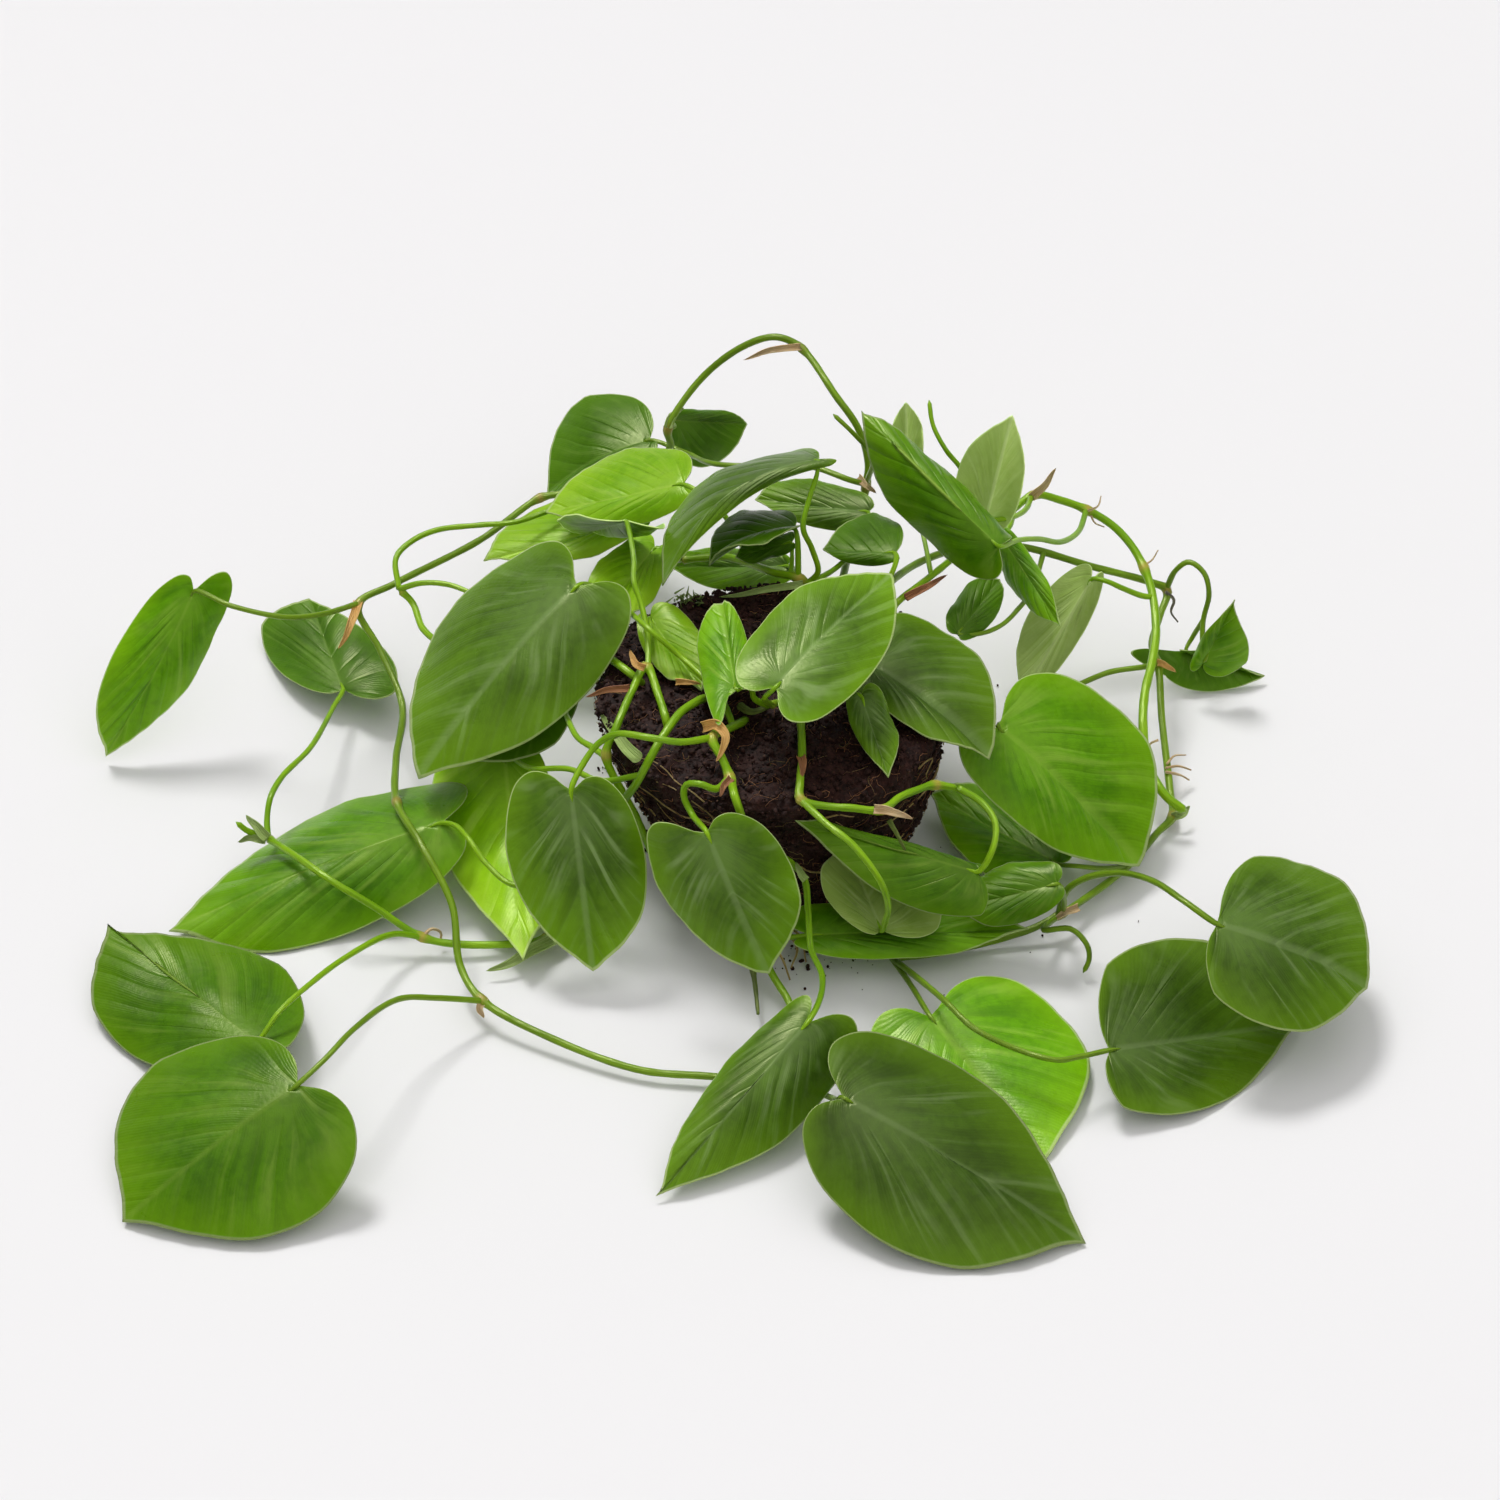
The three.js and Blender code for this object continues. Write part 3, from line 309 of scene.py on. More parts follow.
            [929, 400, 110], radius=1),
     ]},
    {"name": "vine_right_dark", "green": "oldStem", "radius": [1.4, 1.25],
     "stem": [[862, 622, 54], [868, 604, 70], [920, 562, 60], [980, 545, 52], [1023, 547, 48],
          [1090, 566, 40], [1150, 582, 34], [1167, 590, 30], [1160, 615, 26], [1152, 645, 24],
          [1158, 665, 22], [1162, 720, 16], [1170, 790, 6], [1172, 817, 4], [1158, 832, 4],
          [1128, 866, 5], [1077, 904, 8], [1061, 914, 9], [1031, 929, 6], [980, 944, 3], [930, 954, 3],
          [892, 958, 3]],
     "nodes": [[1167, 590, 30], [1158, 665, 22], [1172, 817, 4], [1061, 914, 9], [892, 958, 3]],
     "stalks": [
        makeStalk("leaf_right_shadow", [1045, 553, 46], [1032, 590, 45], [1019, 608, 48], [1000, 626, 52],
            [978, 634, 55], radius=1),
        makeStalk("leaf_far_right_young", [1167, 590, 30], [1176, 570, 40], [1189, 562, 44],
            [1204, 573, 42], [1209, 594, 36], [1203, 622, 26]),
        makeStalk("leaf_far_right", [1203, 622, 26], [1192, 638, 17], radius=1),
        makeStalk("leaf_big_right", [1158, 665, 22], [1143, 667, 28], [1110, 672, 28], [1080, 684, 28],
            [1040, 702, 36], [1012, 720, 48]),
        makeStalk("leaf_front_right_dark", [1062, 913, 9], [1064, 900, 20]),
        makeStalk("leaf_under_big_right", [1128, 866, 5], [1100, 868, 12], [1076, 866, 16], radius=1),
        makeStalk("leaf_low_right_top", [1058, 915, 9], [1068, 889, 24], [1089, 877, 32], [1122, 873, 40],
            [1153, 881, 46], [1184, 901, 50], radius=1.25),
        makeStalk("leaf_low_right_under", [892, 958, 3], [914, 975, 12], [945, 1001, 22], [975, 1029, 22],
            [1019, 1050, 20], [1057, 1060, 20], [1078, 1057, 18]),
        makeStalk("leaf_front_bright", [893, 958, 3], [902, 972, 5], [914, 990, 9]),
        makeStalk(None, [1060, 915, 9], [1044, 930, 13], [1071, 929, 15], [1087, 945, 12], [1089, 960, 7],
            [1083, 973, 3], radius=1.1),
     ]},
]

# Dry brown sheaths and pale bracts: the colour, half width in mm and line of each
sheaths = [
    ("brown", 1.9, [[800, 347, 113], [786, 348, 114], [765, 352, 111], [744, 360, 106]]),
    ("pale", 2.2, [[668, 428, 81], [672, 416, 84], [684, 408, 85]]),
    ("orange", 2.4, [[358, 603, 45], [352, 622, 44], [346, 636, 41], [338, 649, 37]]),
    ("brown", 2, [[484, 998, 10], [480, 1009, 8], [484, 1018, 5]]),
    ("orange", 2.6, [[703, 727, 79], [716, 725, 81], [726, 736, 80], [722, 750, 77], [716, 762, 74]]),
    ("brown", 2.2, [[874, 809, 67], [890, 811, 67], [913, 819, 66]]),
    ("redBrown", 1.8, [[630, 688, 74], [608, 690, 73], [586, 697, 69]]),
    ("brown", 2.2, [[1032, 497, 65], [1044, 486, 70], [1056, 468, 77]]),
    ("orange", 1.8, [[1154, 662, 24], [1163, 664, 24], [1176, 672, 20]]),
    ("brown", 2, [[1078, 907, 12], [1064, 913, 12], [1052, 921, 9]]),
    ("brown", 2, [[858, 478, 76], [867, 486, 77], [876, 493, 73]]),
    ("redBrown", 2, [[905, 598, 71], [924, 588, 72], [947, 575, 71]]),
    ("orange", 1.6, [[676, 682, 73], [688, 682, 74], [701, 684, 73]]),
    ("pale", 1.9, [[803, 584, 77], [775, 588, 76], [745, 594, 73], [719, 597, 71]]),
    ("pale", 3.4, [[560, 934, 6], [536, 947, 6], [512, 962, 5], [486, 971, 3.5]]),
    ("redBrown", 2.1, [[801, 757, 72], [803, 766, 72], [801, 778, 71]]),
    ("redBrown", 1.8, [[731, 778, 72], [724, 786, 71], [720, 797, 69]]),
    ("orange", 1.8, [[645, 668, 78], [636, 664, 79], [630, 650, 79]]),
    ("pale", 2.6, [[268, 838, 21], [256, 826, 24], [246, 815, 26]]),
    ("pale", 2, [[266, 840, 20], [250, 838, 20], [238, 842, 17]]),
    ("pale", 1.9, [[806, 880, 40], [800, 872, 42], [796, 862, 43]]),
    ("pale", 3, [[640, 760, 72], [622, 742, 68], [600, 712, 62]]),
    ("pale", 2.2, [[1172, 817, 5], [1182, 814, 6], [1190, 806, 7]]),
]

# Aerial roots and dead tendrils at the nodes: the colour, radius in mm and line of each
tendrils = [
    ("grey", 0.7, [[1166, 592, 31], [1174, 600, 27], [1171, 612, 22], [1178, 622, 18]]),
    ("brown", 0.5, [[1142, 566, 45], [1152, 560, 46], [1158, 550, 49]]),
    ("brown", 0.5, [[1087, 511, 57], [1098, 506, 60], [1101, 496, 62]]),
    ("brown", 0.5, [[1090, 511, 56], [1094, 522, 53], [1104, 527, 50]]),
    ("brown", 0.6, [[1166, 768, 10], [1178, 766, 9], [1191, 770, 6]]),
    ("brown", 0.6, [[1166, 772, 10], [1180, 775, 7], [1189, 780, 3]]),
    ("brown", 0.5, [[1167, 764, 11], [1174, 756, 12], [1186, 755, 10]]),
    ("brown", 0.8, [[422, 938, 7], [431, 929, 9], [441, 933, 6], [440, 942, 3]]),
    ("brown", 0.5, [[1158, 740, 20], [1150, 744, 18], [1147, 756, 14]]),
    ("brown", 0.6, [[1055, 905, 12], [1046, 896, 13], [1040, 899, 10]]),
    ("straw", 0.7, [[757, 905, 22], [770, 940, 14], [782, 958, 8], [790, 980, 2]]),
    ("straw", 0.7, [[762, 918, 17], [784, 930, 12], [797, 948, 7], [791, 968, 2]]),
    ("straw", 0.6, [[756, 900, 24], [778, 922, 16], [800, 936, 9], [806, 962, 2]]),
    ("olive", 1.2, [[752, 965, 6], [755, 985, 7], [758, 1014, 5]]),
    ("olive", 1.6, [[740, 706, 69], [752, 712, 70], [770, 706, 70]]),
    ("olive", 1, [[889, 820, 60], [898, 836, 56], [905, 850, 52]]),
]


# Each vector over its own length
def unit(vector):
    return vector / np.maximum(np.linalg.norm(vector, axis=-1, keepdims=True), 1e-9)


# A smooth line through the points, as evenly spaced points: between each two a cubic that leaves and
# arrives with the slopes its neighbours give, weighed by the square roots of their distances
def smoothLine(points, count=None, spacing=2.0):
    p = np.array(points, float)
    p = np.vstack([2 * p[0] - p[1], p, 2 * p[-1] - p[-2]])
    a, b, c, d = p[:-3], p[1:-2], p[2:-1], p[3:]
    gapA, gapB, gapC = (np.sqrt(np.maximum(np.linalg.norm(r - q, axis=1, keepdims=True), 1e-9))
                        for q, r in ((a, b), (b, c), (c, d)))
    leaving = ((b - a) / gapA - (c - a) / (gapA + gapB) + (c - b) / gapB) * gapB
    arriving = ((c - b) / gapB - (d - b) / (gapB + gapC) + (d - c) / gapC) * gapB
    t = np.linspace(0, 1, 24, endpoint=False)[:, None, None]
    curve = ((2 * t**3 - 3 * t**2 + 1) * b + (t**3 - 2 * t**2 + t) * leaving
             + (3 * t**2 - 2 * t**3) * c + (t**3 - t**2) * arriving)
    fine = np.vstack([curve.transpose(1, 0, 2).reshape(-1, p.shape[1]), p[-2]])
    length = np.concatenate([[0], np.cumsum(np.linalg.norm(np.diff(fine, axis=0), axis=1))])
    count = count or max(4, int(length[-1] / spacing) + 1)
    at = np.linspace(0, length[-1], count)
    return np.stack([np.interp(at, length, fine[:, k]) for k in range(p.shape[1])], axis=1)


# Smooth noise from 0 to 1: random values on a lattice, blended between its eight nearest corners
def softNoise(points, size, seed):
    lattice = np.random.default_rng(seed).random((32, 32, 32))
    q = points / size
    cell = np.floor(q).astype(int)
    f = q - cell
    f = f * f * (3 - 2 * f)
    total = np.zeros(len(points))
    for corner in np.ndindex(2, 2, 2):
        weight = np.prod(np.where(corner, f, 1 - f), axis=1)
        x, y, z = ((cell + corner) % 32).T
        total += weight * lattice[x, y, z]
    return total


# Faces of a grid of rows and columns; a closed one joins its last column to its first
def gridFaces(rows, columns, closed):
    across = np.arange(columns if closed else columns - 1)
    down = np.arange(rows - 1)[:, None] * columns
    a = down + across
    b = down + (across + 1) % columns
    return np.stack([a, b, b + columns, a + columns], axis=-1).reshape(-1, 4)


# A round tube along a line: at each point a ring, cosine and sine of the turn times the radius on two
# sides square to the line that are carried along without twist. Gives points, quads, end caps and (mm
# along, turn)
def tubeMesh(line, radii, sides):
    tangents = unit(np.gradient(line, axis=0))
    side = unit(np.cross(tangents[0], [0.3, 0.2, 0.93]))
    carried = []
    for tangent in tangents:
        side = unit(side - tangent * np.dot(side, tangent))
        carried.append(side)
    first = np.array(carried)[:, None]
    second = np.cross(tangents, carried)[:, None]
    turn = np.linspace(0, 2 * np.pi, sides, endpoint=False)[None, :, None]
    rings = np.cos(turn) * first + np.sin(turn) * second
    points = (line[:, None] + rings * np.asarray(radii)[:, None, None]).reshape(-1, 3)
    points = np.vstack([points, line[0], line[-1]])
    quads = gridFaces(len(line), sides, True)
    ring = np.arange(sides)
    after = (ring + 1) % sides
    tail = (len(line) - 1) * sides
    caps = np.vstack([np.stack([np.full(sides, len(points) - 2), after, ring], axis=1),
                      np.stack([np.full(sides, len(points) - 1), tail + ring, tail + after], axis=1)])
    along = np.concatenate([[0], np.cumsum(np.linalg.norm(np.diff(line, axis=0), axis=1))])
    coordinates = np.stack([np.repeat(along, sides), np.tile(ring / sides, len(line))], axis=1)
    coordinates = np.vstack([coordinates, [0, 0], [along[-1], 0]])
    return points, quads, caps, coordinates


# Joins several meshes of points, quads, triangles and per-point values into one
def joinMeshes(meshes):
    shift = 0
    points, quads, triangles, values = [], [], [], []
    for p, q, t, v in meshes:
        points.append(p)
        quads.append(np.asarray(q, int).reshape(-1, 4) + shift)
        triangles.append(np.asarray(t, int).reshape(-1, 3) + shift)
        values.append(v)
        shift += len(p)
    return np.vstack(points), np.vstack(quads), np.vstack(triangles), np.vstack(values)


# Puts arrays into an object: quads and triangles, materials per face, UV maps from values per point. What
# would reach under the table is pressed flat on it
def addObject(name, points, quads, triangles, materials, uvMaps=None, faceMaterial=None, node=None):
    mesh = bpy.data.meshes.new(name)
    points[:, 2] = np.maximum(points[:, 2], 0)
    faces = np.asarray(quads).tolist() + np.asarray(triangles).tolist()
    mesh.from_pydata((points * metre).tolist(), [], faces)
    corner = np.zeros(len(mesh.loops), np.int32)
    mesh.loops.foreach_get("vertex_index", corner)
    for label, values in (uvMaps or {}).items():
        layer = mesh.uv_layers.new(name=label)
        layer.data.foreach_set("uv", values[corner].astype(np.float32).ravel())
    for material in materials:
        mesh.materials.append(material)
    if faceMaterial is not None:
        mesh.polygons.foreach_set("material_index", faceMaterial.astype(np.int32))
    mesh.polygons.foreach_set("use_smooth", np.ones(len(mesh.polygons), bool))
    mesh.validate()
    mesh.update()
    piece = bpy.data.objects.new(name, mesh)
    bpy.context.collection.objects.link(piece)
    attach(piece, "root")
    if node:
        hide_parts(node)
    return piece


# A maths node. Numbers go into its sockets and anything else is linked
def addMath(tree, operation, *inputs):
    node = tree.nodes.new("ShaderNodeMath")
    node.operation = operation
    for socket, value in zip(node.inputs, inputs):
        if isinstance(value, (int, float)):
            socket.default_value = value
        else:
            tree.links.new(value, socket)
    return node.outputs[0]


# The first colour at share 0, the second at 1, and a straight blend between
def addMix(tree, share, first, second):
    node = tree.nodes.new("ShaderNodeMix")
    node.data_type = "RGBA"
    for socket, value in ((node.inputs[0], share), (node.inputs[6], first), (node.inputs[7], second)):
        if isinstance(value, (int, float, tuple)):
            socket.default_value = value
        else:
            tree.links.new(value, socket)
    return node.outputs[2]


# A colour laid over another, by a mask times a strength
def addLayer(tree, colour, mask, strength, over):
    return addMix(tree, addMath(tree, "MULTIPLY", mask, strength), colour, over)


# 0 at the first bound and beyond it, 1 at the second and beyond it, and a smooth step between
def addStep(tree, value, nothing, full):
    node = tree.nodes.new("ShaderNodeMapRange")
    node.interpolation_type = "SMOOTHSTEP"
    node.inputs["From Min"].default_value = nothing
    node.inputs["From Max"].default_value = full
    tree.links.new(value, node.inputs["Value"])
    return node.outputs["Result"]


# Both values of a UV map
def addMap(tree, name):
    source = tree.nodes.new("ShaderNodeUVMap")
    source.uv_map = name
    split = tree.nodes.new("ShaderNodeSeparateXYZ")
    tree.links.new(source.outputs["UV"], split.inputs[0])
    return split.outputs["X"], split.outputs["Y"]


# Soft noise of a size in metres on the object, or of a size on a UV map or on a given vector
def addNoise(tree, size, detail=3, stretch=None, uv=None, place=None):
    if place is None:
        source = tree.nodes.new("ShaderNodeUVMap" if uv else "ShaderNodeTexCoord")
        if uv:
            source.uv_map = uv
        place = source.outputs["UV" if uv else "Object"]
    if stretch:
        mapping = tree.nodes.new("ShaderNodeMapping")
        mapping.inputs["Scale"].default_value = stretch
        tree.links.new(place, mapping.inputs["Vector"])
        place = mapping.outputs["Vector"]
    noise = tree.nodes.new("ShaderNodeTexNoise")
    noise.inputs["Scale"].default_value = 1 / size
    noise.inputs["Detail"].default_value = detail
    tree.links.new(place, noise.inputs["Vector"])
    return noise.outputs["Fac"]


# An empty node group, what it is given and what it puts out
def startGroup(name, inputs, outputs):
    group = bpy.data.node_groups.new(name, "ShaderNodeTree")
    for label, kind in inputs:
        group.interface.new_socket(label, in_out="INPUT", socket_type=kind)
    for label, kind in outputs:
        group.interface.new_socket(label, in_out="OUTPUT", socket_type=kind)
    return group, group.nodes.new("NodeGroupInput").outputs, group.nodes.new("NodeGroupOutput").inputs


# furrows and fineVeins count the lines between notch and tip; streaks is how fast the streaks change
# across the veins, along them and from leaf to leaf; top and underside are vein strength, shine and
# relief in metres
# the pale streaks' strength paints sheen along the veins, as a painted highlight
leafLook = {"furrows": 3.1, "fineVeins": 31.0, "furrowShade": 0.16, "fineShade": 0.05, "midribShade": 0.9,
            "streaks": (7.0, 1.3, 31.0), "darkStreaks": 0.7, "paintedSheenStreaks": 0.42, "edge": 0.6,
            "junction": 0.22, "rim": 0.7, "smoothest": 0.16, "roughness": 0.34,
            "top": (0.3, 0.24, 0.00035), "underside": (0.7, 0.2, 0.0003), "rimColour": "c3d68c",
            "shine": (0.95, 1, 0.5, 1)}


# Colour and relief of a blade: mottling, dark streaks and pale streaks of painted sheen along the veins, a
# lighter margin and middle, then furrows, fine veins, a pale midrib and a thin pale rim. The UV map "veins"
# holds which vein a point lies on and the share of the way across; "rim" holds the way out from the middle
# (0 to 1) and the leaf's own brightness, partly its own tone and partly painted light and shade
def leafPattern():
    group, given, out = startGroup(
        "leaf pattern",
        [(label, "NodeSocketColor") for label in ("Body", "Deep", "Edge", "Vein", "Rim")]
        + [("Vein Strength", "NodeSocketFloat")],
        [("Color", "NodeSocketColor"), ("Roughness", "NodeSocketFloat"), ("Height", "NodeSocketFloat")])

    def times(first, second):
        return addMath(group, "MULTIPLY", first, second)

    def plus(first, second):
        return addMath(group, "ADD", first, second)

    def step(value, nothing, full):
        return addStep(group, value, nothing, full)

    veinPlace, sideways = addMap(group, "veins")
    outward, shade = addMap(group, "rim")
    across = addMath(group, "ABSOLUTE", sideways)
    clear = step(outward, 0.06, 0.34)
    wander = addMath(group, "SUBTRACT", addNoise(group, 0.02), 0.5)
    vein = plus(veinPlace, times(wander, 0.06))
    furrow = step(addMath(group, "PINGPONG", times(vein, leafLook["furrows"]), 0.5), 0.12, 0.0)
    furrow = times(times(furrow, step(across, 0.95, 0.3)), clear)
    fine = step(addMath(group, "PINGPONG", times(vein, leafLook["fineVeins"]), 0.5), 0.5, 0.0)
    fine = times(fine, clear)
    midrib = step(across, 0.045, 0.008)
    lines = times(furrow, leafLook["furrowShade"])
    lines = addMath(group, "MAXIMUM", lines, times(fine, leafLook["fineShade"]))
    lines = addMath(group, "MAXIMUM", lines, times(midrib, leafLook["midribShade"]))
    cloud = step(addNoise(group, 0.035, 4), 0.32, 0.70)
    speck = step(addNoise(group, 0.003, 4), 0.40, 0.68)
    place = group.nodes.new("ShaderNodeCombineXYZ")
    for socket, value, speed in zip(place.inputs, (vein, sideways, shade), leafLook["streaks"]):
        group.links.new(times(value, speed), socket)
    streak = addNoise(group, 1.0, 2.5, place=place.outputs["Vector"])
    edge = step(plus(outward, times(addNoise(group, 0.025, 3), 0.5)), 0.75, 1.35)
    colour = addMix(group, plus(times(cloud, 0.7), times(speck, 0.3)), given["Body"], given["Deep"])
    # The pale streaks are painted sheen along the veins; the dark streaks darken the leaf between them
    for mask, strength, label in (
            (times(step(streak, 0.48, 0.28), clear), leafLook["darkStreaks"], "Deep"),
            (times(step(streak, 0.50, 0.74), clear), leafLook["paintedSheenStreaks"], "Vein"),
            (edge, leafLook["edge"], "Edge"),
            (step(outward, 0.6, 0.0), leafLook["junction"], "Vein"),
            (lines, given["Vein Strength"], "Vein"),
            (step(outward, 0.974, 0.988), leafLook["rim"], "Rim")):
        colour = addLayer(group, colour, mask, strength, given[label])
    # The colour is scaled by the leaf's own brightness, which is partly painted light and shade
    scaled = group.nodes.new("ShaderNodeVectorMath")
    scaled.operation = "SCALE"
    group.links.new(colour, scaled.inputs[0])
    group.links.new(shade, scaled.inputs["Scale"])
    group.links.new(scaled.outputs[0], out["Color"])
    rough = plus(times(addNoise(group, 0.010, 3), leafLook["roughness"]), leafLook["smoothest"])
    group.links.new(rough, out["Roughness"])
    sunk = plus(times(furrow, 0.4), times(fine, 0.08))
    height = addMath(group, "SUBTRACT", times(addNoise(group, 0.0014, 3), 0.25), sunk)
    group.links.new(height, out["Height"])
    return group


# A new material, its nodes and its shader
def startMaterial(name, roughness, specular):
    material = bpy.data.materials.new(name)
    material.use_nodes = True
    shader = material.node_tree.nodes["Principled BSDF"]
    shader.inputs["Roughness"].default_value = roughness
    shader.inputs["Specular IOR Level"].default_value = specular
    return material, material.node_tree, shader


# Relief of a height in metres where the pattern is 1
def addBump(tree, shader, height, distance):
    bump = tree.nodes.new("ShaderNodeBump")
    bump.inputs["Distance"].default_value = distance
    bump.inputs["Strength"].default_value = 1.0
    tree.links.new(height, bump.inputs["Height"])
    tree.links.new(bump.outputs["Normal"], shader.inputs["Normal"])


# A hex colour as the shader wants it, with its gamma taken off
def tint(code):
    channels = np.array([int(code[i:i + 2], 16) / 255 for i in (0, 2, 4)])
    linear = np.where(channels <= 0.04045, channels / 12.92, ((channels + 0.055) / 1.055) ** 2.4)
    return (*[float(value) for value in linear], 1.0)


pattern = leafPattern()


# One face of a blade: the leaf pattern with its colours, in the order body, deep, edge and vein
def leafMaterial(name, colours, veinStrength, specular, bump):
    material, tree, shader = startMaterial(name, 0.38, specular)
    shader.inputs["Specular Tint"].default_value = leafLook["shine"]
    look = tree.nodes.new("ShaderNodeGroup")
    look.node_tree = pattern
    for label, code in zip(("Body", "Deep", "Edge", "Vein", "Rim"), (*colours, leafLook["rimColour"])):
        look.inputs[label].default_value = tint(code)
    look.inputs["Vein Strength"].default_value = veinStrength
    tree.links.new(look.outputs["Color"], shader.inputs["Base Color"])
    tree.links.new(look.outputs["Roughness"], shader.inputs["Roughness"])
    addBump(tree, shader, look.outputs["Height"], bump)
    return material


# Each green: body, deep patches, edge, veins and underside
greens = {
    "bright": ("63a002", "3c7200", "84bb06", "9bbf48", "8fb23c"),
    "yellowish": ("8abe10", "6aa008", "a2cc26", "b9d65a", "9cc440"),
    "greyish": ("547a1a", "34520c", "74a306", "94ac70", "86a55a"),
    "deep": ("457206", "305602", "5c8c0a", "7a9c40", "6b9038"),
    "pale": ("8eaa4a", "789638", "a2bc5c", "bccf88", "a3ba68"),
}
leafMaterials = {
    name: [leafMaterial("leaf " + name, (body, deep, edge, vein), *leafLook["top"]),
           leafMaterial("leaf underside " + name, (below, body, below, vein), *leafLook["underside"])]
    for name, (body, deep, edge, vein, below) in greens.items()}


# Stems: streaks along their length, brown rings at the nodes from the UV map, darker older patches
def stemMaterial(name, body, deep, ring):
    material, tree, shader = startMaterial(name, 0.3, 0.34)
    shader.inputs["Specular Tint"].default_value = leafLook["shine"]
    streak = addStep(tree, addNoise(tree, 1.0, 3, (0.05, 9.0, 1.0), uv="stem"), 0.35, 0.7)
    patch = addStep(tree, addNoise(tree, 0.03, 3), 0.42, 0.66)
    colour = addLayer(tree, tint(body), streak, 0.5, tint(deep))
    colour = addLayer(tree, colour, patch, 0.6, tint(deep))
    colour = addLayer(tree, colour, addMap(tree, "node")[0], 0.75, tint(ring))
    tree.links.new(colour, shader.inputs["Base Color"])
    addBump(tree, shader, addNoise(tree, 1.0, 4, (0.2, 14.0, 1.0), uv="stem"), 0.0003)
    return material


# Each stem colour: its material and its slot
stemLooks = {
    "stem": (stemMaterial("stem green", "8fbc18", "639608", "c0a050"), "stem"),
    "oldStem": (stemMaterial("stem olive", "7a9e20", "55760e", "a8884a"), "old_stem"),
}


# Dry papery sheath: streaks along it and soft patches of the deeper colour
def dryMaterial(name, body, deep):
    material, tree, shader = startMaterial(name, 0.6, 0.3)
    streak = addStep(tree, addNoise(tree, 1.0, 4, (0.12, 4.0, 1.0), uv="sheath"), 0.3, 0.7)
    patch = addStep(tree, addNoise(tree, 0.004, 3), 0.4, 0.7)
    colour = addMix(tree, streak, tint(body), tint(deep))
    colour = addLayer(tree, colour, patch, 0.4, tint(deep))
    tree.links.new(colour, shader.inputs["Base Color"])
    addBump(tree, shader, streak, 0.0004)
    return material


# Each dry colour: its body and its streaks
dryColours = {
    "brown": ("f2dcae", "d0a870"), "orange": ("f4c878", "dca050"), "redBrown": ("cc9160", "8f5836"),
    "pale": ("b9ce80", "92ae52"), "grey": ("97907c", "5f5a4c"), "straw": ("cdb57a", "9a7c42"),
    "olive": ("7f8f3c", "5b6a2a"),
}
dryMaterials = {name: dryMaterial("dry " + name, *codes) for name, codes in dryColours.items()}


# Moist potting soil: nearly black brown with reddish and tan specks
def soilMaterial():
    material, tree, shader = startMaterial("soil", 0.85, 0.25)
    lump = addStep(tree, addNoise(tree, 0.006, 5), 0.35, 0.7)
    grain = addStep(tree, addNoise(tree, 0.0012, 4), 0.40, 0.72)
    fleck = addStep(tree, addNoise(tree, 0.0022, 2), 0.66, 0.72)
    colour = addMix(tree, lump, tint("331a14"), tint("190b08"))
    colour = addLayer(tree, colour, grain, 0.5, tint("4c2c22"))
    colour = addLayer(tree, colour, fleck, 0.45, tint("7a5640"))
    tree.links.new(colour, shader.inputs["Base Color"])
    addBump(tree, shader, addNoise(tree, 0.0015, 5), 0.0012)
    return material


soil = soilMaterial()
print("materials made")

# Leaf blades, in mm, with pucker, crease and swell for a leaf 100 mm long
blade = {"rings": 20, "margin": 96, "thickness": 0.45, "centre": 0.06, "puff": 2, "wave": 1,
         "edgeRipple": 0.25, "pucker": 0.36, "crease": 1.1, "swell": 2.4, "drift": 0.2, "clearance": 0.1}
# How bright each leaf is beside the others of its colour: partly its own tone, partly painted light and shade
# for how lit or shaded it lies
leafToneAndLight = {
    "leaf_back_right_bright": 0.78, "leaf_front_right_upper": 0.55, "leaf_front_right_dark": 0.62,
    "leaf_low_left_front": 0.62, "leaf_left_flat": 0.92, "leaf_far_right_young": 0.8,
    "leaf_low_left_back": 0.6, "leaf_far_left": 1.08, "leaf_front_bright": 1.25, "leaf_top_small": 1.15,
    "leaf_top_heart": 1.25, "leaf_top_right": 0.8, "leaf_behind_soil": 1.35, "leaf_left_folded": 1.35,
    "leaf_soil_bright": 0.8, "leaf_back_left_edge_on": 1.8, "leaf_back_right_pale": 1.7,
    "leaf_back_right_under": 1.1, "leaf_back_right_small": 1.6, "leaf_right_olive": 1.2,
    "leaf_big_right": 0.92, "leaf_low_right_top": 0.84, "leaf_low_right_under": 0.74,
    "leaf_front_largest": 0.66, "leaf_front_middle_heart": 1.1, "leaf_front_left_heart": 1.15,
}
# Half the outline: share of the way from notch to tip, and width
heart = [[0, 0], [-0.09, 0.2], [-0.1, 0.5], [0.04, 0.84], [0.3, 1],
         [0.56, 0.88], [0.78, 0.5], [0.92, 0.15], [1, 0]]


